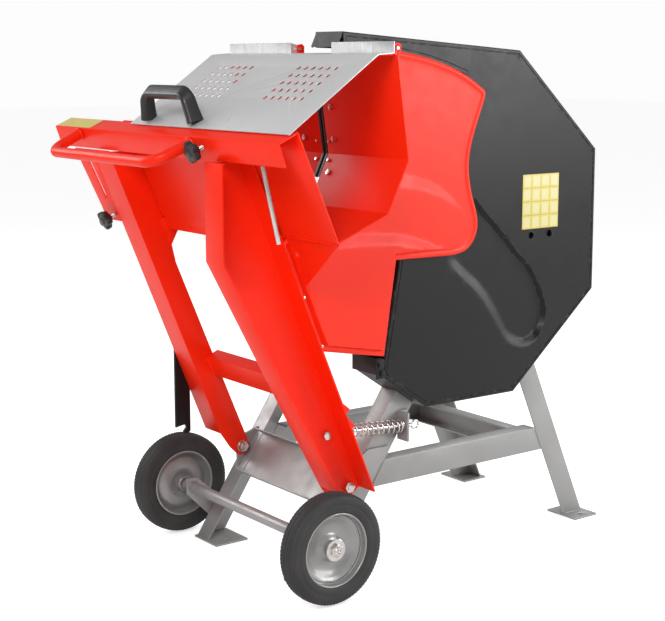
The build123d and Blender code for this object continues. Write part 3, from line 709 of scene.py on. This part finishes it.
SIGHT_CUP = [                      # x, radius
    (231.6, 10.6), (231.6, 8.6), (226.0, 8.0), (219.0, 8.0), (219.0, 0.4), (217.4, 0.4),
    (217.4, 9.4), (226.0, 9.6), (230.4, 10.6)]


def guard_height(y, z):
    if inside((y, z), PANEL_INNER):
        return -PANEL_DEPTH
    if inside((y, z), PANEL_OUTER):
        outer = edge_distance((y, z), PANEL_OUTER)
        inner = edge_distance((y, z), PANEL_INNER)
        return -PANEL_DEPTH * ease(outer / (outer + inner + 1e-6))
    return 0.0


def folded_flange(mesh, line, low_x, high_x, thickness, lip):
    """Flange strip along an open line of (y, z), with an inward lip at low_x."""
    places = [Vector(point) for point in line]
    normals = []
    for start, end in zip(places[:-1], places[1:]):
        ahead = (end - start).normalized()
        normals.append(Vector((ahead.y, -ahead.x)))
    section = [                    # x, depth inward from the line
        (high_x, 0.0), (high_x, thickness), (low_x + thickness, thickness),
        (low_x + thickness, lip), (low_x, lip), (low_x, 0.6), (low_x + 0.6, 0.0)]
    points = []
    for i, place in enumerate(places):
        beside = normals[max(0, i - 1):i + 1]
        # Corners are mitred; at the two ends the depths are halved.
        cosine = beside[0].dot(beside[1]) if len(beside) == 2 else 1
        inward = sum(beside, Vector((0, 0))) / max(0.3, 1 + cosine)
        for x, depth in section:
            corner = place + inward * depth
            points.append((x, corner.x, corner.y))
    add_rows(mesh, points, len(section))


def build_guard():
    mesh = bmesh.new()
    corners = [Vector(point) for point in GUARD_RIM + GUARD_MOUTH]
    outline = [tuple(point) for point in split_spans(corners + corners[:1], 24.0)]
    relief(mesh, outline, GUARD_EDGE, guard_height, step=13.0, back=lambda x: x - 2.6,
           loops=[smooth_loop(PANEL_OUTER), smooth_loop(PANEL_INNER)],
           holes=[circle(9.0, 28, centre) for centre in SIGHT_HOLES])
    folded_flange(mesh, [(80, 1201)] + GUARD_RIM + [(214, 492)],
                  low_x=136.3, high_x=229.0, thickness=3.0, lip=9.0)
    for centre in SIGHT_HOLES:
        lathe(mesh, SIGHT_CUP, centre, segments=28)
    # A small pip on the face at each corner, pointing to the middle.
    for y, z in GUARD_RIM[1:6]:
        inward = Vector((520 - y, 790 - z)).normalized()
        start, end = [(GUARD_FACE_X, y + inward.x * reach, z + inward.y * reach)
                      for reach in (9, 21)]
        bead(mesh, start, end, 1.2, y)
    finish(mesh, "guard_cover_look", "black_paint", "frame", 24.0, "guard_cover")


build_guard()


# ------------------------------------------------------------ side cover: moulded, swept steps
def cover_edge_y(z):
    """The cover's straight slanting edge on its -Y side."""
    return 153.0 - 0.427 * (z - 222.0) + 1.5


COVER = [                          # y, z
    (cover_edge_y(800), 800), (36, 856), (92, 970), (62, 1188), (150, 1196), (223, 1193),
    (290, 1183), (348, 1169), (400, 1152), (440, 1134), (478, 1111), (487, 1103), (488, 1090),
    (476, 1058), (462, 1024), (450, 990), (443, 960), (441, 925), (446, 892), (454, 862),
    (464, 835), (470, 812), (471, 792), (464, 768), (451, 750), (434, 738), (412, 732),
    (385, 730), (227, 733), (194, 518), (cover_edge_y(552), 552)]
COVER_SHARP = {0, 1, 2, 3, 27, 28, 29, 30}
COVER_EDGE = [                     # inset, x
    (0.0, 250.5), (0.5, 254.0), (1.8, 257.0), (4.2, 259.2), (7.2, 260.2), (10.5, 260.2),
    (13.5, 258.8), (17.0, 258.2)]
# Each step: its upper line and lower line as (y, z), the y where it dies out,
# the length over which it fades, and its height.
COVER_STEPS = (
    ([(-20, 938), (120, 934), (180, 931), (243, 924), (278, 917), (314, 907), (350, 892),
      (387, 865), (421, 838), (436, 820)],
     [(-20, 905), (120, 902), (180, 899), (229, 896), (279, 890), (329, 877), (373, 860),
      (410, 836), (436, 819)],
     440, 110, 5.5),
    ([(-20, 806), (120, 802), (175, 798), (216, 795), (259, 786), (301, 772), (338, 758),
      (363, 747), (390, 738)],
     [(-20, 776), (120, 774), (175, 773), (210, 771), (248, 762), (302, 752), (340, 744),
      (390, 735)],
     385, 100, 8.0),
)


def line_z(y, line):
    """The line's z at y; flat beyond its ends."""
    if y <= line[0][0]:
        return line[0][1]
    for (y0, z0), (y1, z1) in zip(line[:-1], line[1:]):
        if y <= y1:
            return z0 + (z1 - z0) * (y - y0) / (y1 - y0)
    return line[-1][1]


def cover_height(y, z):
    total = 0.0
    for upper, lower, end_y, fade, height in COVER_STEPS:
        bottom = line_z(y, lower)
        top = max(line_z(y, upper), bottom + 0.5)
        total += height * ease((end_y - y) / fade) * max(0.0, min(1.0, (top - z) / (top - bottom)))
    return total


def crease(line, outline):
    """Points along a step's line, kept clear of the cover's edge."""
    points = []
    y = 20.0
    while y < line[-1][0] - 2:
        point = (y, line_z(y, line))
        if inside(point, outline) and edge_distance(point, outline) > 22:
            points.append(point)
        y += 8.0
    return points


def build_side_cover():
    mesh = bmesh.new()
    outline = smooth_loop(COVER, COVER_SHARP)
    relief(mesh, outline, COVER_EDGE, cover_height, step=10.0, back=lambda x: 238.0,
           lines=[crease(line, outline) for step in COVER_STEPS for line in step[:2]])
    finish(mesh, "side_cover_look", "red_plastic", "cradle", 40.0, "side_cover")


build_side_cover()

# ------------------------------------------------------------ wheels and axle
WHEEL_X = 315
# Profiles are (x, radius), with x from the wheel's middle. The tyre's is one half.
TYRE = [
    (-20, 82.2), (-22.5, 84.5), (-24.2, 88), (-25.0, 94), (-25.2, 100), (-24.7, 101.2),
    (-25.3, 102.6), (-25.0, 110), (-24.0, 115.5), (-22.0, 119.2), (-20.4, 121.0), (-19.0, 122.0),
    (-17.0, 123.2), (-15.6, 121.4), (-14.2, 123.6), (-10.6, 124.4), (-9.2, 122.4),
    (-7.8, 124.6), (-3.4, 125.0), (-2.0, 123.0), (-0.6, 125.0)]
# Rim disc and hub, with +x outward.
RIM_DISC = [
    (-19.5, 82.1), (-19.5, 80.4), (-18, 79.4), (0.5, 78.6), (5.0, 77.2), (6.4, 74.5),
    (5.2, 70.0), (1.0, 64.0), (-3.5, 58.0), (-6.6, 50.0), (-7.6, 42.0), (-7.4, 34.0),
    (-5.2, 28.6), (-1.0, 24.4), (0.5, 21.4), (1.4, 19.2), (15.0, 19.2), (15.8, 18.4),
    (15.8, 12.0), (15.2, 11.4), (10.0, 10.6), (-14.0, 10.6), (-25.2, 11.4), (-25.8, 12.0),
    (-25.8, 18.6), (-25.2, 19.2), (-3.0, 19.2), (-3.8, 21.0), (-5.6, 24.8), (-9.2, 29.6),
    (-10.8, 35.0), (-11.0, 42.0), (-10.0, 50.5), (-6.8, 59.6), (-2.2, 65.8), (2.0, 71.0),
    (3.0, 74.6), (1.8, 75.6), (-0.5, 76.0), (-19.6, 77.4), (-21.2, 79.0), (-21.4, 81.0),
    (-20.8, 82.1)]
RIM_SEAT = [
    (6.0, 77.0), (7.4, 78.6), (18.6, 80.0), (19.6, 82.4), (17.6, 82.4), (16.8, 81.6),
    (4.0, 80.0)]
PIP_RADIUS = 71.5


def build_tyre(side, word):
    profile = TYRE + mirrored(TYRE[::-1], -1)
    shoulder = {i for i, (x, radius) in enumerate(profile) if 118 < radius and abs(x) > 16.5}

    def notch(i, k):
        if i not in shoulder:
            return 0.0
        return -0.9 if k % 3 == 0 else 0.35

    mesh = bmesh.new()
    lathe(mesh, profile, AXLE, segments=264, middle_x=WHEEL_X * side, swell=notch)
    finish(mesh, f"{word}_tyre_look", "tyre_rubber", f"{word}_wheel", 34.0, f"{word}_tyre")


def build_rim(side, word):
    mesh = bmesh.new()
    rolled_bead = circle(2.2, 12, (side * 20.0, 81.2))
    for profile in (mirrored(RIM_DISC, side), rolled_bead, mirrored(RIM_SEAT, side)):
        lathe(mesh, profile, AXLE, segments=128, middle_x=WHEEL_X * side)
    # Six short pips pressed round the disc.
    for k in range(6):
        turn = math.radians(20 + 60 * k)
        middle = Vector(((WHEEL_X + 6.4) * side, AXLE[0] + PIP_RADIUS * math.cos(turn),
                         AXLE[1] + PIP_RADIUS * math.sin(turn)))
        half = Vector((0, -math.sin(turn), math.cos(turn))) * 7
        bead(mesh, middle - half, middle + half, 1.5, k)
    finish(mesh, f"{word}_rim_look", "rim_paint", f"{word}_wheel", 38.0, f"{word}_rim")


for side, word in ((1, "right"), (-1, "left")):
    build_tyre(side, word)
    build_rim(side, word)

NUT_FLAT = 13.5                    # from the axis to a flat of the nut
WASHER = [                         # x, radius
    (331.4, 10.1), (331.4, 24.2), (332.0, 25.2), (333.4, 25.2), (334.2, 24.2), (334.4, 18.0),
    (334.0, 10.1)]
NUT = [
    (334.0, 10.1), (334.0, 12.8), (334.6, NUT_FLAT), (340.0, NUT_FLAT), (341.4, 12.4),
    (341.8, 11.4), (341.8, 10.1)]
AXLE_ROD = [
    (-344, 1.0), (-341, 5.0), (-344, 5.6), (-344, 8.6), (-342.6, 10.0), (342.6, 10.0),
    (344, 8.6), (344, 5.6), (341, 5.0), (337, 1.0), (336.5, 0.3), (-336.5, 0.3)]


def hexagon(i, k):
    """Swell the nut's outer points to a hexagon, the chamfered ones by half."""
    if i not in (1, 2, 3, 4):
        return 0
    from_flat = math.radians((k * 5.0 + 30) % 60 - 30)
    return (NUT_FLAT / math.cos(from_flat) - NUT_FLAT) * (1.0 if i in (2, 3) else 0.5)


def build_axle():
    mesh = bmesh.new()
    for side in (-1, 1):
        lathe(mesh, mirrored(WASHER, side), AXLE, segments=72)
        lathe(mesh, mirrored(NUT, side), AXLE, segments=72, swell=hexagon)
    finish(mesh, "axle_nuts_look", "zinc", "frame", 26.0, "axle_nuts")
    mesh = bmesh.new()
    lathe(mesh, AXLE_ROD, AXLE, segments=48)
    finish(mesh, "axle_look", "zinc", "frame", 30.0, "axle")


build_axle()


# ------------------------------------------------------------ push handle: bent, welded tube
def build_push_handle():
    corners = [Vector(point) for point in (
        (-345, -236, 1003), (-330, -318, 966), (132, -318, 966), (147, -236, 1003))]
    mesh = bmesh.new()
    sweep(mesh, densify(fillet_line(corners, 42, 14), 12), circle(12.0, 28))
    # A weld ring round each end, in four pieces.
    across = Vector((1, 0, 0))
    for end, inner in (corners[:2], corners[:1:-1]):
        along = (inner - end).normalized()
        other = along.cross(across).normalized()
        turns = [2 * math.pi * k / 24 for k in range(25)]
        ring = [end + along * 1.0 + across * 12.6 * math.cos(a) + other * 12.6 * math.sin(a)
                for a in turns]
        for k in range(0, 24, 6):
            sweep(mesh, ring[k:k + 7], circle(2.8, 8))
    finish(mesh, "push_handle_look", "red_paint", "cradle", 40.0, "push_handle")


build_push_handle()


# ------------------------------------------------------------ lid handle: moulded bow
def build_lid_handle():
    low, high = Vector((0, -212, 1033.5)), Vector((0, 5, 1184.5))
    slope = (high - low).normalized()
    normal = Vector((0, -slope.z, slope.y))
    corners = [                    # x, distance up the lid, height off the lid
        (-82.0, 16, 2.6), (-74.0, 42, 58), (90.0, 42, 58), (110.0, 16, 2.6)]
    bow = [Vector((x, 0, 0)) + low + slope * up + normal * off for x, up, off in corners]
    path = frames(densify(fillet_line(bow, 24, 12), 5))
    section = round_rect(19, 30, 6.0)
    points = []
    for k, (place, _, _, ahead) in enumerate(path):
        # The section's long side keeps close to the lid's slope.
        wide = slope * 0.97 + normal * 0.25
        wide = (wide - ahead * wide.dot(ahead)).normalized()
        narrow = ahead.cross(wide).normalized()
        # The grip flares towards its feet.
        flare = 1.0 + 0.18 * (abs(2 * k / (len(path) - 1) - 1) ** 6)
        points += [place + narrow * u * flare + wide * v * flare for u, v in section]
    mesh = bmesh.new()
    add_rows(mesh, points, len(section))
    finish(mesh, "lid_handle_look", "black_plastic", "lid", 40.0, "lid_handle")


build_lid_handle()

# ------------------------------------------------------------ star knobs
# Rows are (height along the stud's axis, radius).
KNOB_REACH = 20                    # from the root to the head
KNOB_NECK = [(-8, 9), (-7, 10), (-1, 11)]
KNOB_HEAD = [(-2, 17), (-1, 20), (1.5, 22.4), (11, 22.8), (14, 21.4), (15.4, 18), (16, 10)]
KNOB_CAP = [(15, 9.4), (17, 9.0), (17.8, 7.4)]


def build_knob(node, root, axis, spin):
    root, axis = Vector(root), Vector(axis).normalized()
    side = axis.cross(Vector((1, 0, 0))).normalized()
    other = axis.cross(side).normalized()

    def add_turned(mesh, rows, count, base=0, shape=lambda turn: 1.0):
        points = []
        for height, radius in rows:
            for k in range(count):
                turn = 2 * math.pi * k / count
                reach = radius * shape(turn)
                points.append(root + axis * (base + height)
                              + side * reach * math.cos(turn + spin)
                              + other * reach * math.sin(turn + spin))
        add_rows(mesh, points, count)

    def star(turn):
        return 0.80 + 0.26 * (0.5 + 0.5 * math.cos(5 * turn)) ** 0.8

    mesh = bmesh.new()
    add_turned(mesh, KNOB_NECK, 40, KNOB_REACH)
    add_turned(mesh, KNOB_HEAD, 90, KNOB_REACH, star)
    add_turned(mesh, KNOB_CAP, 40, KNOB_REACH)
    finish(mesh, node + "_look", "black_plastic", node, 35.0, node)

    thread = [(-3, 3.2), (-2.4, 4.0)]
    height = -2.0
    while height < KNOB_REACH - 6:
        thread += [(height, 4.1), (height + 0.5, 3.5)]
        height += 1.25
    mesh = bmesh.new()
    add_turned(mesh, thread, 20)
    finish(mesh, node + "_stud", "zinc", node, 50.0)


build_knob("front_knob", root=(187, -232.2, 997.0), axis=(0, -0.943, -0.333), spin=0.35)
build_knob("side_knob", root=(-360, -142.4, 806.0), axis=(0, -0.925, -0.38), spin=0.8)

# ------------------------------------------------------------ return spring and its rod
ROD_START = Vector((207.0, 57.0, 352.0))
ROD_AXIS = Vector((0, 296.0 - ROD_START.y, 334.0 - ROD_START.z)).normalized()
ROD_SIDE = Vector((1, 0, 0))
ROD_OTHER = ROD_AXIS.cross(ROD_SIDE).normalized()
SPRING_START = ROD_START + ROD_AXIS * 71.0
SPRING_LENGTH = (287.0 - SPRING_START.y) / ROD_AXIS.y
SPRING_TURNS = 12
SPRING_RADIUS = 13.8
CLOSED = 1.5 / SPRING_TURNS        # share of the turns closed up at each end
CLOSED_PITCH = 0.45                # rise in the closed turns against an even coil
ROD_COLLARS = ((65.5, 70.0, 16.0), (70.0, 73.0, 10.5), (222.0, 225.5, 10.5))  # from, to, radius
ROD_BUSH = [(-5, 6.1), (-5, 11), (-4, 12), (4, 12), (5, 11), (5, 6.1)]         # x, radius


def coil_rise(t):
    if t < CLOSED:
        return t * CLOSED_PITCH
    if t > 1 - CLOSED:
        return 1 - (1 - t) * CLOSED_PITCH
    low = CLOSED * CLOSED_PITCH
    return low + (1 - 2 * low) * (t - CLOSED) / (1 - 2 * CLOSED)


def build_spring():
    path = []
    count = SPRING_TURNS * 26
    for k in range(count + 1):
        t = k / count
        turn = 2 * math.pi * SPRING_TURNS * t
        path.append(SPRING_START + ROD_AXIS * (2 + coil_rise(t) * (SPRING_LENGTH - 4))
                    + ROD_SIDE * (SPRING_RADIUS * math.cos(turn))
                    + ROD_OTHER * (SPRING_RADIUS * math.sin(turn)))
    mesh = bmesh.new()
    sweep(mesh, path, circle(2.3, 12))
    coil = finish(mesh, "return_spring_look", "zinc", "spring_guide", 50.0, "return_spring")
    # The coil shortens as the cradle swings.
    x, y, z = SPRING_START
    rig.squash(coil, "cradle_swing", axis=tuple(ROD_AXIS),
              anchor=(x * MM, (y - ORIGIN_Y) * MM, z * MM), keep=0.67)


def build_spring_rod():
    mesh = bmesh.new()
    sweep(mesh, [ROD_START + ROD_AXIS * (8 + k * 25.2) for k in range(11)], circle(4.5, 24))
    # An end loop, left slightly open.
    centre = ROD_START + ROD_AXIS * 271
    turns = [math.pi + 2 * math.pi * k / 32 for k in range(31)]
    loop = [centre + ROD_AXIS * (10 * math.cos(a)) + ROD_OTHER * (10 * math.sin(a))
            for a in turns]
    sweep(mesh, loop, circle(2.4, 12))
    for start, end, radius in ROD_COLLARS:
        stations = (start, start + 0.8, end - 0.8, end)
        sweep(mesh, [ROD_START + ROD_AXIS * along for along in stations], circle(radius, 32))
    lathe(mesh, ROD_BUSH, (ROD_START.y, ROD_START.z), segments=40, middle_x=ROD_START.x)
    finish(mesh, "spring_rod_look", "zinc", "spring_guide", 35.0, "spring_rod")


build_spring()
build_spring_rod()

# ------------------------------------------------------------ CAD nodes kept, edges rounded
EDGE_WIDTH = {
    "lid_panel": 0.5, "saw_blade": 0.35, "blade_tips": 0.3, "blank_label": 0.25,
    "cradle_fasteners": 0.8, "pivot_bolts": 1.0, "stay_rod": 0.8, "slot_insert": 0.5,
    "shaft_bearings": 0.5, "motor_housing": 0.6, "motor_fan_cowl": 0.8, "log_trough": 0.8,
    "top_beam": 1.6, "left_cradle_leg": 1.5, "right_cradle_leg": 1.5, "front_left_leg": 1.4,
    "front_right_leg": 1.4, "rear_left_leg": 1.4, "rear_right_leg": 1.4, "side_rails": 1.4,
    "rear_cross_rail": 1.2, "front_cross_plate": 1.0, "latch_bar": 1.2,
    "cradle_crossbar": 1.4, "switch_box": 2.5, "start_button": 1.2, "stop_button": 1.2}
OTHER_WIDTH = 0.9


def carry(node, mat):
    mesh = bmesh.new()
    mesh.from_mesh(NODES[node].data)
    bmesh.ops.remove_doubles(mesh, verts=mesh.verts, dist=2e-6)
    bmesh.ops.dissolve_limit(mesh, angle_limit=math.radians(1.0), verts=mesh.verts,
                             edges=mesh.edges)
    bmesh.ops.recalc_face_normals(mesh, faces=mesh.faces)
    sharp = [edge for edge in mesh.edges
             if len(edge.link_faces) == 2 and edge.calc_face_angle(0) > math.radians(30.0)]
    round_edges(mesh, sharp, EDGE_WIDTH.get(node, OTHER_WIDTH))
    link_piece(mesh, node + "_look", mat, SLOT[node], BODY[node], 28.0, node)


def carry_the_rest():
    replaced = {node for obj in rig.pieces() for node in obj.get("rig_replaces", [])}
    film = grid_film()
    for node in sorted(NODES):
        if node not in replaced:
            carry(node, film if node == "blank_label" else MAT[SLOT[node]])


carry_the_rest()

# ------------------------------------------------------------ weld beads
CRADLE_WELDS = (                   # start, end, radius, seed
    ((281, -94.5, 812), (216, -94.0, 812), 2.6, 1),
    ((463, -95, 813.5), (283, -95, 813.5), 2.4, 2),
    ((218, -238, 966.5), (278, -238, 966.5), 2.4, 3),
    ((-286, -231, 965.5), (-219, -231, 965.5), 2.4, 4),
    ((221.5, -236, 966), (221.5, -150, 966), 2.2, 5),
    ((-214.0, 44, 412), (-214.0, 21, 460), 2.4, 6),
    ((214.8, 44, 412), (214.8, 21, 460), 2.4, 7))
FRAME_WELD_RADIUS = 2.2
SLANTED_WELDS = (                  # (y, z) of the start and end
    ((81 + 0.67 * 197, 196), (81 + 0.67 * 253, 253)),
    ((855 - 0.446 * 197, 197), (855 - 0.446 * 253, 253)))


def build_welds():
    mesh = bmesh.new()
    for weld in CRADLE_WELDS:
        bead(mesh, *weld)
    finish(mesh, "cradle_welds", "red_paint", "cradle", 60.0)
    welds = [((x, *start), (x, *end), start[0])          # start, end, seed
             for start, end in SLANTED_WELDS for x in (190.2, -246.2)]
    welds += [((low_x, 5.0, 6.0), (high_x, 5.0, 6.0), low_x)
              for low_x, high_x in ((141, 189), (-245, -198))]
    welds += [((x, low_y, 6.0), (x, high_y, 6.0), seed) for x in (190.6, -246.6)
              for low_y, high_y, seed in ((8, 82, 9), (856, 918, 11))]
    mesh = bmesh.new()
    for start, end, seed in welds:
        bead(mesh, start, end, FRAME_WELD_RADIUS, seed)
    finish(mesh, "frame_welds", "grey_paint", "frame", 60.0)


build_welds()


# ------------------------------------------------------------ small pieces on the cradle
def build_stop_tabs():
    """Two small triangular tabs by the right cradle leg."""
    mesh = bmesh.new()
    for triangle in (((60.0, 437), (84, 418), (73, 406)), ((76, 401), (99, 378), (88, 370))):
        points = [(x, y, z) for x in (269.0, 273.0) for y, z in triangle]
        add_shell(mesh, points,
                  [(2, 1, 0), (3, 4, 5), (0, 1, 4, 3), (1, 2, 5, 4), (2, 0, 3, 5)])
    round_edges(mesh, list(mesh.edges), 0.8)
    finish(mesh, "cradle_stop_tabs", "red_paint", "cradle", 30.0)


def build_beam_film():
    """Plain film on the sloping top of the beam, at its left end."""
    run, rise = -195.7 + 238.5, 1036.1 - 1017
    slope = Vector((0, run, rise)).normalized()
    normal = Vector((0, -rise, run)).normalized()
    corner = Vector((0, -238.5, 1017)) + normal * 0.15
    low_x, high_x, low, high = -462.0, -296.0, 3.0, 44.0
    points = []
    for lift in (0.0, 0.35):
        for x, up in ((low_x, low), (high_x, low), (high_x, high), (low_x, high)):
            place = corner + slope * up + normal * lift
            points.append((x, place.y, place.z))
    mesh = bmesh.new()
    add_shell(mesh, points, [(3, 2, 1, 0), (4, 5, 6, 7), (0, 1, 5, 4), (1, 2, 6, 5),
                             (2, 3, 7, 6), (3, 0, 4, 7)])
    long_edges = [edge for edge in mesh.edges if edge.calc_length() > 0.02]
    bmesh.ops.subdivide_edges(mesh, edges=long_edges, cuts=6, use_grid_fill=True)
    finish(mesh, "beam_film", "label", "cradle", 30.0)


build_stop_tabs()
build_beam_film()


# ------------------------------------------------------------ floor, world, lights, camera
# From here on places are in metres, with y still from the axle for the lights and camera.
def build_floor():
    mat = Material("pale_floor")
    mat.set("Roughness", 0.75)
    mottle = mat.spread(mat.noise(scale=1.2, detail=3.0))
    mat.set("Base Color", mat.mix(mottle, (0.86, 0.86, 0.86), (0.88, 0.88, 0.88)))
    mat.set("Emission Color", (1, 1, 1))
    mat.set("Emission Strength", mat.by_ray(camera=0.62, others=0.10))
    bpy.ops.mesh.primitive_plane_add(size=60, location=(0, 0, -0.0005))
    floor = bpy.context.object
    floor.name = "floor"
    floor.data.materials.append(mat.material)
    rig.stage(floor)


def build_world():
    world = bpy.data.worlds.new("studio")
    scene.world = world
    nodes = Nodes(world)
    background = nodes.tree.nodes["Background"]
    nodes.feed(background.inputs["Color"], (1, 1, 1))
    nodes.feed(background.inputs["Strength"], nodes.by_ray(camera=0.98, others=0.38))


def area_light(name, place, aim, size, energy):
    light = bpy.data.lights.new(name, "AREA")
    light.shape = "RECTANGLE"
    light.size, light.size_y = size
    light.energy = energy
    obj = bpy.data.objects.new(name, light)
    start, end = [Vector((x, y - ORIGIN_Y * MM, z)) for x, y, z in (place, aim)]
    obj.location = start
    obj.rotation_euler = (end - start).to_track_quat("-Z", "Y").to_euler()
    scene.collection.objects.link(obj)
    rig.stage(obj)


def build_camera():
    camera = bpy.data.cameras.new("cam")
    camera.lens = 77.58
    camera.sensor_width = 36.0
    camera.sensor_fit = "HORIZONTAL"
    obj = bpy.data.objects.new("cam", camera)
    obj.location = (2.693, -1.793 - ORIGIN_Y * MM, 1.174)
    tilt_down, heading = 9.94, 52.92     # degrees
    obj.rotation_euler = Euler((math.radians(90 - tilt_down), 0.0, math.radians(heading)), "XYZ")
    scene.collection.objects.link(obj)
    scene.camera = obj


build_floor()
build_world()
area_light("key", place=(2.6, -2.9, 3.3), aim=(0, 0.2, 0.6), size=(2.2, 1.6), energy=112)
area_light("side", place=(2.9, 2.65, 1.45), aim=(0.2, 0.35, 1.0), size=(1.1, 1.1), energy=46)
area_light("fill", place=(-3.2, -1.8, 2.4), aim=(0, 0.3, 0.6), size=(2.2, 1.8), energy=62)
area_light("back", place=(-1.5, 3.6, 2.8), aim=(0, 0.5, 0.6), size=(2.4, 1.4), energy=36)
area_light("sheen", place=(1.7, 4.4, 1.5), aim=(0.2, 0.5, 0.7), size=(1.5, 1.5), energy=38)
build_camera()
scene.view_settings.view_transform = "Standard"
scene.view_settings.look = "None"
scene.view_settings.exposure = 0.0

size_after = rounded_bounds()
with open("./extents.json", "w") as fh:
    fh.write(repr([size_before, size_after]).replace("'", '"'))
